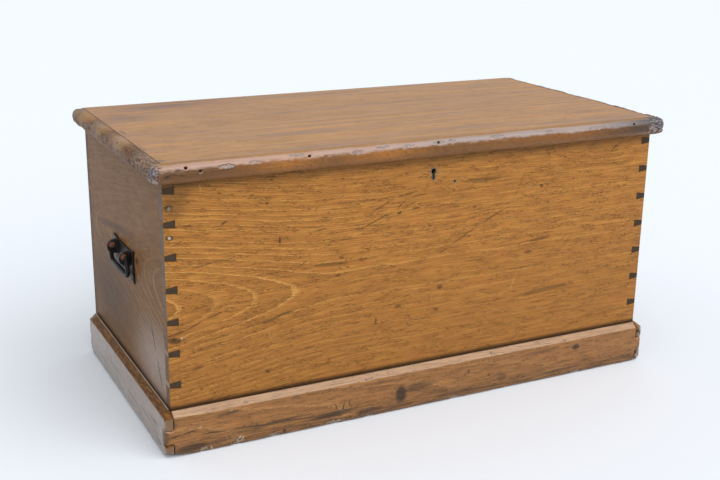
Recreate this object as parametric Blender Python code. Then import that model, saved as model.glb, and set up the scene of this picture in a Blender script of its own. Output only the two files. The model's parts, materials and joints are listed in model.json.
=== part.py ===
# Pine blanket chest: a dovetailed box on a skirting plinth, with a bullnosed lid on
# iron butt hinges, an iron drop handle at each end and a link-plate box lock.
# Sizes are in metres. The front faces -Y, the left end is at -X and the floor is at Z = 0.
import math

import bmesh
import bpy
from mathutils import Matrix, Vector

MM = 0.001

# Air left between pieces that touch
FIT_GAP = 0.3 * MM

# Box walls
CASE_WIDTH = 950 * MM
CASE_DEPTH = 490 * MM
TOTAL_HEIGHT = 491 * MM
WALL = 19 * MM

# Bottom boards, nailed up under the walls and hidden by the plinth
BOTTOM_LIFT = 8 * MM
BOTTOM_THICKNESS = 15 * MM
BOTTOM_BOARDS = 3

# Through dovetails, tails on front and back, pins on the ends
PIN_PITCH = 54 * MM
FIRST_PIN_DROP = 24.2 * MM
LAST_PIN_LEAST_RISE = 22 * MM
PIN_NARROW = 8.5 * MM
PIN_SLOPE = 1 / 8

# Plinth on the front and both ends, one dovetail at each front corner
PLINTH_HEIGHT = 80 * MM
PLINTH_BOARD = 14.5 * MM
PLINTH_LEDGE = 1.2 * MM
PLINTH_BEVEL_DROP = 9 * MM
PLINTH_FOOT_ROUND = 6 * MM
PLINTH_CORNER_ROUND = 4 * MM
PLINTH_RIGHT_SHOULDER = 12 * MM
PLINTH_RIGHT_FOOT = 11 * MM
PLINTH_RIGHT_CORNER = 8 * MM
PLINTH_TAIL_LOW = 22 * MM
PLINTH_TAIL_HIGH = 50 * MM
PLINTH_TAIL_FLARE = 3 * MM
PLINTH_BACK_SHORT = 6 * MM

# Plinth feet worn away at the corners: reach along X and along Y, and height
WORN_LEFT_FOOT = (85 * MM, 50 * MM, 11 * MM)
WORN_RIGHT_FOOT = (34 * MM, 30 * MM, 9 * MM)
WORN_BACK_FOOT = (30 * MM, 45 * MM, 11 * MM)

# Lid: two boards, with a bullnosed strip along the front and each end
LID_BOARD = 20 * MM
LID_REST_GAP = 0.4 * MM
LID_BOARD_JOINT = -39 * MM
LIP_GAP = 0.8 * MM
NOSE_HEIGHT = 32 * MM
NOSE_DEPTH = 21 * MM
NOSE_UNDER_FLAT = 8 * MM
NOSE_TOP_FLAT = 9 * MM
NOSE_LOWER_RISE = 15 * MM
NOSE_UPPER_RISE = 15 * MM
LID_CORNER_ROUND = 16 * MM
LID_STRIP_PAST = 7 * MM
LID_BACK_ROUND = 8 * MM

# Iron butt hinges let into the back edge
HINGE_SPREAD = 560 * MM
HINGE_LENGTH = 72 * MM
HINGE_LEAF_SHORT = 3 * MM
HINGE_PLATE = 2.2 * MM
KNUCKLE_RADIUS = 4.5 * MM
KNUCKLES = 5
HINGE_PIN_RADIUS = 2 * MM
HINGE_PIN_PROUD = 0.8 * MM
HINGE_SCREW_INSET = 14 * MM

# Iron drop handles
HANDLE_Y = -8 * MM
HANDLE_PIVOT_Z = 281 * MM
HANDLE_PIVOT_OUT = 11 * MM
HANDLE_PLATE = 3.5 * MM
HANDLE_PLATE_WIDTH = 126 * MM
HANDLE_PLATE_ABOVE = 18 * MM
HANDLE_PLATE_BELOW = 41 * MM
HANDLE_PLATE_WAIST = 4.5 * MM
EAR_SPREAD = 77 * MM
EAR_THICKNESS = 8 * MM
EAR_RADIUS = 12 * MM
EAR_ROOT = 1.5 * MM
BAIL_RADIUS = 4.3 * MM
BAIL_GRIP_RADIUS = 4.9 * MM
BAIL_PIVOT_RADIUS = 3 * MM
BAIL_SIDE_GAP = 0.5 * MM
BAIL_PIVOT_PROUD = 1.5 * MM
BAIL_HALF_GRIP = 65 * MM
BAIL_DROP = 29 * MM
BAIL_BEND = 11 * MM
BAIL_HIP = 5 * MM
HANDLE_SCREW_INSET = 10 * MM
HANDLE_SCREW_EDGE = 7 * MM

# Keyhole and its brass liner
KEY_X = 5 * MM
KEY_PIN_DROP = 39 * MM
KEY_ROUND = 5 * MM
KEY_SLOT_HALF = 2.6 * MM
KEY_SLOT_DROP = 15.5 * MM
LINER_WALL = 1 * MM
LINER_SHORT = 1.4 * MM
LINER_PROUD = 0.3 * MM

# Box lock let into the inside of the front, and its link plate under the lid
LOCK_PLATE = 2 * MM
LOCK_PLATE_RIM = 11 * MM
LOCK_DROP = 65 * MM
SELVEDGE_WIDTH = 14 * MM
SELVEDGE_SINK = 0.2 * MM
LOCK_CAP_DEPTH = 10 * MM
LOCK_CAP_WALL = 1.2 * MM
LOCK_CAP_TOP_DROP = 6 * MM
LOCK_CAP_FOOT_RISE = 5 * MM
LOCK_KEY_PIN_RADIUS = 2 * MM
LOCK_KEY_PIN_LENGTH = 8 * MM
BOLT_TRAVEL = 8 * MM
BOLT_THICKNESS = 3.2 * MM
BOLT_BAR_HEIGHT = 9 * MM
BOLT_FINGER_HEIGHT = 5 * MM
BOLT_FINGER_LENGTH = 10.5 * MM
BOLT_STEM = 3.5 * MM
BOLT_REST_GAP = 2 * MM
BOLT_END_ROOM = 1.8 * MM
BOLT_TALON = 8 * MM
BOLT_TALON_RISE = 3.5 * MM
BOLT_STUD_OFFSET = -10 * MM
BOLT_STUD_RADIUS = 1.8 * MM
BOLT_STUD_COLLAR = 3 * MM
LINK_SPREAD = 32 * MM
LINK_THICKNESS = 3 * MM
LINK_WIDTH = 7.2 * MM
LINK_DROP = 21 * MM
LINK_WINDOW_WIDTH = 4.4 * MM
LINK_WINDOW_HEIGHT = 8 * MM
LINK_FOOT = 2.4 * MM
LINK_CLEARANCE = 0.8 * MM
LINK_PLATE = 2.5 * MM
LINK_PLATE_END = 15 * MM
LINK_PLATE_DEPTH = 16 * MM
LINK_SCREW_INSET = 7 * MM
LOCK_SCREW_INSET = 5 * MM
LOCK_SCREW_HIGH = 16 * MM
LOCK_SCREW_FOOT_RISE = 11 * MM

# Slotted countersunk screws
SCREW_HEAD_RADIUS = 3.4 * MM
SCREW_SHANK_RADIUS = 1.7 * MM
SCREW_RIM = 0.4 * MM
SCREW_LENGTH = 13 * MM
SCREW_POINT = 3 * MM
SCREW_SUNK = 0.1 * MM
SCREW_SLOT = 0.9 * MM
SCREW_SIDES = 10

# Facets round a bore, a bar, a knuckle and an ear
BORE_SIDES = 12
BAR_SIDES = 10
KNUCKLE_STEPS = 16
EAR_STEPS = 9

# Sizes that follow from the ones above
HALF_WIDTH = CASE_WIDTH / 2
HALF_DEPTH = CASE_DEPTH / 2
LID_UNDER = TOTAL_HEIGHT - LID_BOARD
WALL_TOP = LID_UNDER - LID_REST_GAP
WALL_FOOT = BOTTOM_LIFT + BOTTOM_THICKNESS + FIT_GAP
PIN_RUN = WALL_TOP - WALL_FOOT - FIRST_PIN_DROP - LAST_PIN_LEAST_RISE
PIN_COUNT = 1 + math.floor(PIN_RUN / PIN_PITCH)
NOSE_BOTTOM = TOTAL_HEIGHT - NOSE_HEIGHT
LID_HALF_WIDTH = HALF_WIDTH + LIP_GAP + NOSE_DEPTH
LID_FRONT = -(HALF_DEPTH + LIP_GAP + NOSE_DEPTH)
PLINTH_OUT = FIT_GAP + PLINTH_BOARD
HINGE_LEAF = WALL - HINGE_LEAF_SHORT
HINGE_SCREW_SPREAD = HINGE_LENGTH - 2 * HINGE_SCREW_INSET
HINGE_Y = HALF_DEPTH + FIT_GAP + KNUCKLE_RADIUS
HINGE_Z = (WALL_TOP + LID_UNDER) / 2
HANDLE_SCREW_SPREAD = HANDLE_PLATE_WIDTH - 2 * HANDLE_SCREW_INSET
HANDLE_SCREW_ABOVE = HANDLE_PLATE_ABOVE - HANDLE_SCREW_EDGE
HANDLE_SCREW_BELOW = HANDLE_PLATE_BELOW - HANDLE_SCREW_EDGE
FRONT_FACE = -HALF_DEPTH
FRONT_INSIDE = FRONT_FACE + WALL
KEY_Z = WALL_TOP - KEY_PIN_DROP
LOCK_PLATE_FACE = FRONT_INSIDE - LOCK_PLATE
LOCK_CAP_FACE = LOCK_PLATE_FACE - FIT_GAP - LOCK_CAP_DEPTH
LINER_END = LOCK_CAP_FACE - FIT_GAP - LINER_SHORT
BOLT_REACH = LINK_THICKNESS / 2 + BOLT_REST_GAP
LOCK_WORKS_HALF_WIDTH = LINK_SPREAD / 2 + BOLT_REACH + BOLT_FINGER_LENGTH + BOLT_END_ROOM
LOCK_CAP_HALF_WIDTH = LOCK_WORKS_HALF_WIDTH + LOCK_CAP_WALL
LOCK_HALF_WIDTH = LOCK_CAP_HALF_WIDTH + LOCK_PLATE_RIM
LOCK_CAP_FOOT_DROP = LOCK_DROP - LOCK_CAP_FOOT_RISE
LOCK_SCREW_SPREAD = 2 * (LOCK_HALF_WIDTH - LOCK_SCREW_INSET)
LOCK_SCREW_LOW = LOCK_DROP - LOCK_SCREW_FOOT_RISE
LINK_PLATE_HALF_WIDTH = LINK_SPREAD / 2 + LINK_PLATE_END
LINK_SCREW_SPREAD = 2 * (LINK_PLATE_HALF_WIDTH - LINK_SCREW_INSET)
LINK_Y = LOCK_PLATE_FACE - FIT_GAP - (LOCK_CAP_DEPTH - LOCK_CAP_WALL) / 2
LINK_BOTTOM = LID_UNDER - LINK_DROP
WINDOW_Z = LINK_BOTTOM + LINK_FOOT + LINK_WINDOW_HEIGHT / 2
# Brings the middle of the whole, from lid nose to hinge knuckles, over the origin
CENTRE_SHIFT = -(LID_FRONT + HINGE_Y + KNUCKLE_RADIUS) / 2

WOOD = {"colour": (0.40, 0.16, 0.035), "roughness": 0.42, "metallic": 0.0}
END_WOOD = {"colour": (0.21, 0.085, 0.035), "roughness": 0.5, "metallic": 0.0}
BARE_WOOD = {"colour": (0.46, 0.29, 0.14), "roughness": 0.75, "metallic": 0.0}
IRON = {"colour": (0.018, 0.017, 0.018), "roughness": 0.48, "metallic": 0.85}
STEEL = {"colour": (0.16, 0.14, 0.12), "roughness": 0.4, "metallic": 1.0}
BRASS = {"colour": (0.47, 0.36, 0.18), "roughness": 0.35, "metallic": 1.0}


def give_material(thing, finish):
    look = bpy.data.materials.new(thing.name + "_finish")
    look.use_nodes = True
    shader = look.node_tree.nodes["Principled BSDF"]
    shader.inputs["Base Color"].default_value = (*finish["colour"], 1.0)
    shader.inputs["Roughness"].default_value = finish["roughness"]
    shader.inputs["Metallic"].default_value = finish["metallic"]
    thing.data.materials.append(look)


def shade_round(thing):
    thing.data.shade_smooth()
    thing.data.set_sharp_from_angle(angle=math.radians(40))


# A closed solid from points in the chest's frame, with its origin at its own middle
def solid(name, points, faces, parent=None):
    low = Vector([min(p[i] for p in points) for i in range(3)])
    high = Vector([max(p[i] for p in points) for i in range(3)])
    middle = (low + high) / 2
    mesh = bpy.data.meshes.new(name)
    mesh.from_pydata([Vector(p) - middle for p in points], [], faces)
    work = bmesh.new()
    work.from_mesh(mesh)
    bmesh.ops.recalc_face_normals(work, faces=work.faces)
    work.to_mesh(mesh)
    work.free()
    thing = bpy.data.objects.new(name, mesh)
    bpy.context.scene.collection.objects.link(thing)
    thing.location = middle
    if parent:
        thing.parent = parent
        thing.location = middle - parent.location
    return thing


def axis_empty(name, spot):
    empty = bpy.data.objects.new(name, None)
    empty.empty_display_size = 0.05
    empty.location = spot
    bpy.context.scene.collection.objects.link(empty)
    return empty


# An outline drawn across one axis and run along it: (y, z) for X, (x, z) for Y, (x, y) for Z
def prism(name, outline, axis, start, end, parent=None):
    points = []
    for along in (start, end):
        for u, v in outline:
            spot = [u, v]
            spot.insert("XYZ".index(axis), along)
            points.append(spot)
    count = len(outline)
    faces = [list(range(count)), list(range(count, 2 * count))]
    for i in range(count):
        j = (i + 1) % count
        faces.append([i, j, count + j, count + i])
    return solid(name, points, faces, parent)


def block(name, low, high, parent=None):
    outline = [(low[0], low[1]), (high[0], low[1]), (high[0], high[1]), (low[0], high[1])]
    return prism(name, outline, "Z", low[2], high[2], parent)


def arc(centre, radii, first, last, steps):
    points = []
    for step in range(steps + 1):
        angle = math.radians(first + (last - first) * step / steps)
        points.append((centre[0] + radii[0] * math.cos(angle), centre[1] + radii[1] * math.sin(angle)))
    return points


def rod(name, start, end, radius, sides, parent=None):
    length = (Vector(end) - Vector(start)).length
    return turned(name, start, end, [(0.0, radius), (length, radius)], sides, parent)


# A round piece: (distance along, radius) pairs turned about the line from start to end
def turned(name, start, end, profile, sides, parent=None):
    along = (Vector(end) - Vector(start)).normalized()
    across = along.orthogonal().normalized()
    beside = along.cross(across)
    points = []
    for reach, radius in profile:
        for side in range(sides):
            angle = 2 * math.pi * (side + 0.5) / sides
            spoke = across * math.cos(angle) + beside * math.sin(angle)
            points.append(Vector(start) + along * reach + spoke * radius)
    faces = [list(range(sides)), list(range(len(points) - sides, len(points)))]
    for ring in range(len(profile) - 1):
        for side in range(sides):
            a = ring * sides + side
            b = ring * sides + (side + 1) % sides
            faces.append([a, b, b + sides, a + sides])
    thing = solid(name, points, faces, parent)
    shade_round(thing)
    return thing


# Corners given a radius become arcs
def eased(corners, steps, closed=True):
    points = []
    count = len(corners)
    for i, corner in enumerate(corners):
        here = Vector(corner[:2])
        if len(corner) == 2 or (not closed and i in (0, count - 1)):
            points.append(here)
            continue
        radius = corner[2]
        before = (Vector(corners[i - 1][:2]) - here).normalized()
        after = (Vector(corners[(i + 1) % count][:2]) - here).normalized()
        half = before.angle(after) / 2
        middle = here + (before + after).normalized() * (radius / math.sin(half))
        first = here + before * (radius / math.tan(half)) - middle
        last = here + after * (radius / math.tan(half)) - middle
        turn = math.atan2(first.cross(last), first.dot(last))
        for step in range(steps + 1):
            points.append(middle + Matrix.Rotation(turn * step / steps, 2) @ first)
    return [tuple(p) for p in points]


def change(target, tool, operation):
    step = target.modifiers.new(tool.name, "BOOLEAN")
    step.operation = operation
    step.solver = "EXACT"
    step.object = tool
    tool.hide_render = True
    tool.display_type = "WIRE"


def cut(target, tool):
    change(target, tool, "DIFFERENCE")


def add(target, tool):
    change(target, tool, "UNION")


def keep_inside(target, tool):
    change(target, tool, "INTERSECT")


# A screw let in flush, and the countersunk hole for it in every piece it passes through
def screw(name, spot, direction, turn, pieces, parent=None):
    way = Vector(direction)
    top = Vector(spot) + way * SCREW_SUNK
    end = top + way * SCREW_LENGTH
    shoulder = SCREW_RIM + SCREW_HEAD_RADIUS - SCREW_SHANK_RADIUS
    shape = [
        (0.0, SCREW_HEAD_RADIUS),
        (SCREW_RIM, SCREW_HEAD_RADIUS),
        (shoulder, SCREW_SHANK_RADIUS),
        (SCREW_LENGTH - SCREW_POINT, SCREW_SHANK_RADIUS),
        (SCREW_LENGTH, SCREW_SHANK_RADIUS / 4),
    ]
    body = turned(name, top, end, shape, SCREW_SIDES, parent)
    give_material(body, IRON)
    reach = SCREW_HEAD_RADIUS + FIT_GAP
    slot = block(
        name + "_slot",
        (-reach, -SCREW_SLOT / 2, -SCREW_SLOT),
        (reach, SCREW_SLOT / 2, SCREW_SLOT),
        body,
    )
    tilt = Vector((0, 0, 1)).rotation_difference(-way)
    slot.rotation_mode = "QUATERNION"
    slot.rotation_quaternion = tilt @ Matrix.Rotation(turn, 3, "Z").to_quaternion()
    slot.location = top - (body.location + (parent.location if parent else Vector()))
    cut(body, slot)
    hole = [
        (-SCREW_HEAD_RADIUS, SCREW_HEAD_RADIUS + FIT_GAP),
        (SCREW_RIM + FIT_GAP, SCREW_HEAD_RADIUS + FIT_GAP),
        (shoulder + FIT_GAP, SCREW_SHANK_RADIUS + FIT_GAP),
        (SCREW_LENGTH + FIT_GAP, SCREW_SHANK_RADIUS + FIT_GAP),
    ]
    drill = turned(name + "_hole", top, end, hole, SCREW_SIDES, parent)
    for piece in pieces:
        cut(piece, drill)
    return body


# Middle height and half heights of each dovetail pin, at the arris and at the wall's inside
def pin_heights():
    narrow = PIN_NARROW / 2
    wide = narrow + WALL * PIN_SLOPE
    return [(WALL_TOP - FIRST_PIN_DROP - i * PIN_PITCH, narrow, wide) for i in range(PIN_COUNT)]


# Long wall with sockets for the pins at both ends
def tail_board(name, outside, inside, finish):
    outline = []
    end_x = HALF_WIDTH
    root_x = HALF_WIDTH - WALL - FIT_GAP
    outline.append((end_x, WALL_TOP))
    outline.append((-end_x, WALL_TOP))
    for middle, narrow, wide in pin_heights():
        outline.append((-end_x, middle + narrow + FIT_GAP))
        outline.append((-root_x, middle + wide + FIT_GAP))
        outline.append((-root_x, middle - wide - FIT_GAP))
        outline.append((-end_x, middle - narrow - FIT_GAP))
    outline.append((-end_x, WALL_FOOT))
    outline.append((end_x, WALL_FOOT))
    for middle, narrow, wide in reversed(pin_heights()):
        outline.append((end_x, middle - narrow - FIT_GAP))
        outline.append((root_x, middle - wide - FIT_GAP))
        outline.append((root_x, middle + wide + FIT_GAP))
        outline.append((end_x, middle + narrow + FIT_GAP))
    board = prism(name, outline, "Y", outside, inside)
    give_material(board, finish)
    return board


# End wall whose pins pass through the front and the back
def pin_board(name, side, finish):
    outer = side * HALF_WIDTH
    inner = side * (HALF_WIDTH - WALL)
    shoulder = HALF_DEPTH - WALL - FIT_GAP
    past = HALF_DEPTH + WALL
    board = block(
        name,
        (min(outer, inner), -HALF_DEPTH, WALL_FOOT),
        (max(outer, inner), HALF_DEPTH, WALL_TOP),
    )
    give_material(board, finish)
    beyond_out = outer + side * WALL
    beyond_in = inner - side * WALL
    spread = WALL * PIN_SLOPE
    edges = [(WALL_TOP + WALL, WALL_TOP + WALL)]
    for middle, narrow, wide in pin_heights():
        edges.append((middle + narrow - spread, middle + wide + spread))
        edges.append((middle - narrow + spread, middle - wide - spread))
    edges.append((WALL_FOOT - WALL, WALL_FOOT - WALL))
    for front_back, start, end in (("front", -past, -shoulder), ("back", shoulder, past)):
        for i in range(0, len(edges), 2):
            top, foot = edges[i], edges[i + 1]
            outline = [
                (beyond_out, foot[0]),
                (beyond_out, top[0]),
                (beyond_in, top[1]),
                (beyond_in, foot[1]),
            ]
            waste = prism(f"{name}_{front_back}_waste_{i // 2}", outline, "Y", start, end)
            cut(board, waste)
    return board


def make_case():
    front = tail_board("front_panel", FRONT_FACE, FRONT_INSIDE, WOOD)
    back = tail_board("back_panel", HALF_DEPTH, HALF_DEPTH - WALL, WOOD)
    left = pin_board("left_end_panel", -1, END_WOOD)
    right = pin_board("right_end_panel", 1, END_WOOD)
    board_depth = (CASE_DEPTH - FIT_GAP * (BOTTOM_BOARDS - 1)) / BOTTOM_BOARDS
    for i in range(BOTTOM_BOARDS):
        start = -HALF_DEPTH + i * (board_depth + FIT_GAP)
        board = block(
            f"bottom_board_{i + 1}",
            (-HALF_WIDTH, start, BOTTOM_LIFT),
            (HALF_WIDTH, start + board_depth, BOTTOM_LIFT + BOTTOM_THICKNESS),
        )
        give_material(board, BARE_WOOD)
    return front, back, left, right


# The shape all plinth boards are worn and moulded to: bevelled top, rounded foot and corners,
# rubbed rounder at the right end than at the left
def plinth_form():
    top_out = FIT_GAP + PLINTH_LEDGE
    shoulder_z = PLINTH_HEIGHT - PLINTH_BEVEL_DROP
    wide = HALF_WIDTH + PLINTH_OUT
    front = -(HALF_DEPTH + PLINTH_OUT)
    behind = HALF_DEPTH + PLINTH_OUT
    across = [
        (-wide, 0, PLINTH_FOOT_ROUND),
        (wide, 0, PLINTH_RIGHT_FOOT),
        (wide, shoulder_z, PLINTH_RIGHT_SHOULDER),
        (HALF_WIDTH + top_out, PLINTH_HEIGHT),
        (-HALF_WIDTH - top_out, PLINTH_HEIGHT),
        (-wide, shoulder_z, PLINTH_LEDGE),
    ]
    along = [
        (front, 0, PLINTH_FOOT_ROUND),
        (behind, 0),
        (behind, PLINTH_HEIGHT),
        (-HALF_DEPTH - top_out, PLINTH_HEIGHT),
        (front, shoulder_z, PLINTH_LEDGE),
    ]
    plan = [
        (-wide, front, PLINTH_CORNER_ROUND),
        (wide, front, PLINTH_RIGHT_CORNER),
        (wide, behind),
        (-wide, behind),
    ]
    form = prism("plinth_form", eased(across, 4), "Y", front - WALL, behind + WALL)
    form_side = prism("plinth_form_side", eased(along, 4), "X", -wide - WALL, wide + WALL)
    form_plan = prism("plinth_form_plan", eased(plan, 4), "Z", -WALL, PLINTH_HEIGHT + WALL)
    return form, form_side, form_plan


# What wear has taken from a foot corner: deepest at the corner, running out to nothing
def worn_foot(name, corner, inward, size):
    reach_x, reach_y, height = size
    steps = 6
    edge = FIT_GAP
    points = []
    for row in range(steps + 1):
        for column in range(steps + 1):
            a, b = column / steps, row / steps
            x = corner[0] + inward[0] * (reach_x * a - edge)
            y = corner[1] + inward[1] * (reach_y * b - edge)
            points.append((x, y, height * (1 - a) ** 2 * (1 - b) ** 2 - edge))
    under = len(points)
    points += [(x, y, -height) for x, y, z in points]
    across = steps + 1
    faces = []
    for row in range(steps):
        for column in range(steps):
            a = row * across + column
            quad = [a, a + 1, a + across + 1, a + across]
            faces.append(quad)
            faces.append([i + under for i in quad])
    rim = list(range(across))
    rim += [i * across + steps for i in range(1, across)]
    rim += [steps * across + i for i in range(steps - 1, -1, -1)]
    rim += [i * across for i in range(steps - 1, 0, -1)]
    for i, a in enumerate(rim):
        b = rim[(i + 1) % len(rim)]
        faces.append([a, b, b + under, a + under])
    return solid(name, points, faces)


def make_plinth():
    forms = plinth_form()
    wide = HALF_WIDTH + PLINTH_OUT
    front = -(HALF_DEPTH + PLINTH_OUT)
    low, high, flare = PLINTH_TAIL_LOW, PLINTH_TAIL_HIGH, PLINTH_TAIL_FLARE
    outline = [
        (-HALF_WIDTH, 0),
        (HALF_WIDTH, 0),
        (HALF_WIDTH, low + flare),
        (wide, low),
        (wide, high),
        (HALF_WIDTH, high - flare),
        (HALF_WIDTH, PLINTH_HEIGHT),
        (-HALF_WIDTH, PLINTH_HEIGHT),
        (-HALF_WIDTH, high - flare),
        (-wide, high),
        (-wide, low),
        (-HALF_WIDTH, low + flare),
    ]
    board = prism("plinth_front", outline, "Y", front, -(HALF_DEPTH + FIT_GAP))
    give_material(board, WOOD)
    for form in forms:
        keep_inside(board, form)
    back = HALF_DEPTH - PLINTH_BACK_SHORT
    front_wear = {
        "left": worn_foot("plinth_left_front_wear", (-wide, front), (1, 1), WORN_LEFT_FOOT),
        "right": worn_foot("plinth_right_front_wear", (wide, front), (-1, 1), WORN_RIGHT_FOOT),
    }
    back_wear = {
        "left": worn_foot("plinth_left_back_wear", (-wide, back), (1, -1), WORN_BACK_FOOT),
        "right": worn_foot("plinth_right_back_wear", (wide, back), (-1, -1), WORN_BACK_FOOT),
    }
    for wear in front_wear.values():
        cut(board, wear)
    lean = flare / PLINTH_OUT
    spare = WALL / 2
    for name, side in (("left", -1), ("right", 1)):
        near = side * (HALF_WIDTH + FIT_GAP)
        far = side * wide
        rough_face = far + side * spare
        end_board = block(
            f"plinth_{name}",
            (min(near, rough_face), front - spare, -spare),
            (max(near, rough_face), back, PLINTH_HEIGHT + spare),
        )
        give_material(end_board, END_WOOD)
        for form in forms:
            keep_inside(end_board, form)
        cut(end_board, front_wear[name])
        cut(end_board, back_wear[name])
        past_far = far + side * WALL
        past_near = near - side * WALL
        spread_far = lean * WALL
        spread_near = flare + lean * (WALL - FIT_GAP)
        socket = [
            (past_far, low - FIT_GAP - spread_far),
            (past_near, low - FIT_GAP + spread_near),
            (past_near, high + FIT_GAP - spread_near),
            (past_far, high + FIT_GAP + spread_far),
        ]
        cut(end_board, prism(f"plinth_{name}_socket", socket, "Y", front - WALL, -HALF_DEPTH))


# Bullnose section as (distance out, height), from the inner top edge round to the inner foot
def nose_section():
    lower = (NOSE_UNDER_FLAT, NOSE_BOTTOM + NOSE_LOWER_RISE)
    upper = (NOSE_TOP_FLAT, TOTAL_HEIGHT - NOSE_UPPER_RISE)
    section = [(0.0, TOTAL_HEIGHT), (0.0, NOSE_BOTTOM)]
    section += arc(lower, (NOSE_DEPTH - NOSE_UNDER_FLAT, NOSE_LOWER_RISE), -90, 0, 7)
    section += arc(upper, (NOSE_DEPTH - NOSE_TOP_FLAT, NOSE_UPPER_RISE), 0, 90, 7)
    return section


def make_lid(axis):
    inner_front = -(HALF_DEPTH + LIP_GAP)
    inner_side = HALF_WIDTH + LIP_GAP
    section = nose_section()
    front = prism(
        "lid_moulding_front",
        [(inner_front - out, z) for out, z in section],
        "X",
        -LID_HALF_WIDTH,
        LID_HALF_WIDTH,
        axis,
    )
    outer_curve = section[1:]
    silhouette = [(inner_side + out, z) for out, z in outer_curve]
    silhouette += [(-inner_side - out, z) for out, z in reversed(outer_curve)]
    across = prism("lid_form_ends", silhouette, "Y", LID_FRONT - WALL, inner_front + WALL, axis)
    plan = [
        (-LID_HALF_WIDTH, LID_FRONT, LID_CORNER_ROUND),
        (LID_HALF_WIDTH, LID_FRONT, LID_CORNER_ROUND),
        (LID_HALF_WIDTH, HALF_DEPTH),
        (-LID_HALF_WIDTH, HALF_DEPTH),
    ]
    corners = prism(
        "lid_form_plan", eased(plan, 5), "Z", NOSE_BOTTOM - WALL, TOTAL_HEIGHT + WALL, axis
    )
    keep_inside(front, across)
    keep_inside(front, corners)
    strip_end = HALF_DEPTH + LID_STRIP_PAST
    back_line = [
        (LID_FRONT, NOSE_BOTTOM),
        (strip_end, NOSE_BOTTOM, LID_BACK_ROUND),
        (strip_end, TOTAL_HEIGHT, LID_BACK_ROUND),
        (LID_FRONT, TOTAL_HEIGHT),
    ]
    back_form = prism("lid_form_back", eased(back_line, 4), "X", -CASE_WIDTH, CASE_WIDTH, axis)
    shade_round(front)
    give_material(front, WOOD)
    for name, side in (("left", -1), ("right", 1)):
        strip = prism(
            f"lid_moulding_{name}",
            [(side * (inner_side + out), z) for out, z in section],
            "Y",
            inner_front + FIT_GAP,
            HALF_DEPTH + WALL,
            axis,
        )
        shade_round(strip)
        give_material(strip, END_WOOD)
        keep_inside(strip, back_form)
    board_side = inner_side - FIT_GAP
    boards = []
    for name, start, end in (
        ("front", inner_front + FIT_GAP, LID_BOARD_JOINT - FIT_GAP / 2),
        ("rear", LID_BOARD_JOINT + FIT_GAP / 2, HALF_DEPTH),
    ):
        board = block(
            f"lid_board_{name}",
            (-board_side, start, LID_UNDER),
            (board_side, end, TOTAL_HEIGHT),
            axis,
        )
        give_material(board, WOOD)
        boards.append(board)
    return boards


# One leaf with its share of the knuckles; up is 1 for the leaf on the lid
def hinge_leaf(name, middle, up, parent):
    face = LID_REST_GAP / 2
    back = face + HINGE_PLATE
    first = 180 + math.degrees(math.asin(face / KNUCKLE_RADIUS))
    last = -180 + math.degrees(math.asin(back / KNUCKLE_RADIUS))
    curl = arc((HINGE_Y, 0.0), (KNUCKLE_RADIUS, KNUCKLE_RADIUS), first, last, KNUCKLE_STEPS)
    edge = HALF_DEPTH - HINGE_LEAF
    section = [(edge, -face)] + curl + [(edge, -back)]
    section = [(y, HINGE_Z - up * z) for y, z in section]
    leaf = prism(name, section, "X", middle - HINGE_LENGTH / 2, middle + HINGE_LENGTH / 2, parent)
    shade_round(leaf)
    give_material(leaf, IRON)
    part = HINGE_LENGTH / KNUCKLES
    for i in range(KNUCKLES):
        if (i % 2 == 1) == (up > 0):
            continue
        start = middle - HINGE_LENGTH / 2 + i * part - FIT_GAP / 2
        end = start + part + FIT_GAP
        if i == 0:
            start -= WALL
        if i == KNUCKLES - 1:
            end += WALL
        low = (start, HALF_DEPTH, HINGE_Z - WALL)
        high = (end, HALF_DEPTH + WALL, HINGE_Z + WALL)
        cut(leaf, block(f"{name}_notch_{i + 1}", low, high, parent))
    bore = rod(
        f"{name}_bore",
        (middle - HINGE_LENGTH, HINGE_Y, HINGE_Z),
        (middle + HINGE_LENGTH, HINGE_Y, HINGE_Z),
        HINGE_PIN_RADIUS + FIT_GAP,
        BORE_SIDES,
        parent,
    )
    cut(leaf, bore)
    return leaf


def make_hinges(back, lid_board, axis):
    for name, side in (("left", -1), ("right", 1)):
        middle = side * HINGE_SPREAD / 2
        lower = hinge_leaf(f"hinge_{name}_lower_leaf", middle, -1, None)
        upper = hinge_leaf(f"hinge_{name}_upper_leaf", middle, 1, axis)
        half = HINGE_LENGTH / 2
        pin = rod(
            f"hinge_{name}_pin",
            (middle - half - HINGE_PIN_PROUD, HINGE_Y, HINGE_Z),
            (middle + half + HINGE_PIN_PROUD, HINGE_Y, HINGE_Z),
            HINGE_PIN_RADIUS,
            BORE_SIDES,
        )
        give_material(pin, STEEL)
        housing = half + FIT_GAP
        inner_edge = HALF_DEPTH - HINGE_LEAF - FIT_GAP
        sink = HINGE_PLATE + FIT_GAP
        low_bed = block(
            f"hinge_{name}_lower_bed",
            (middle - housing, inner_edge, WALL_TOP - sink),
            (middle + housing, HALF_DEPTH + WALL, WALL_TOP + WALL),
        )
        cut(back, low_bed)
        high_bed = block(
            f"hinge_{name}_upper_bed",
            (middle - housing, inner_edge, LID_UNDER - WALL),
            (middle + housing, HALF_DEPTH + WALL, LID_UNDER + sink),
            axis,
        )
        cut(lid_board, high_bed)
        for i, along in enumerate((-1, 1)):
            x = middle + along * HINGE_SCREW_SPREAD / 2
            y = HALF_DEPTH - HINGE_LEAF / 2
            turn = 0.7 + 1.3 * i + side
            screw(f"hinge_{name}_lower_screw_{i + 1}", (x, y, WALL_TOP), (0, 0, -1), turn, (lower, back))
            screw(
                f"hinge_{name}_upper_screw_{i + 1}",
                (x, y, LID_UNDER),
                (0, 0, 1),
                turn * 2,
                (upper, lid_board),
                axis,
            )


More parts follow.
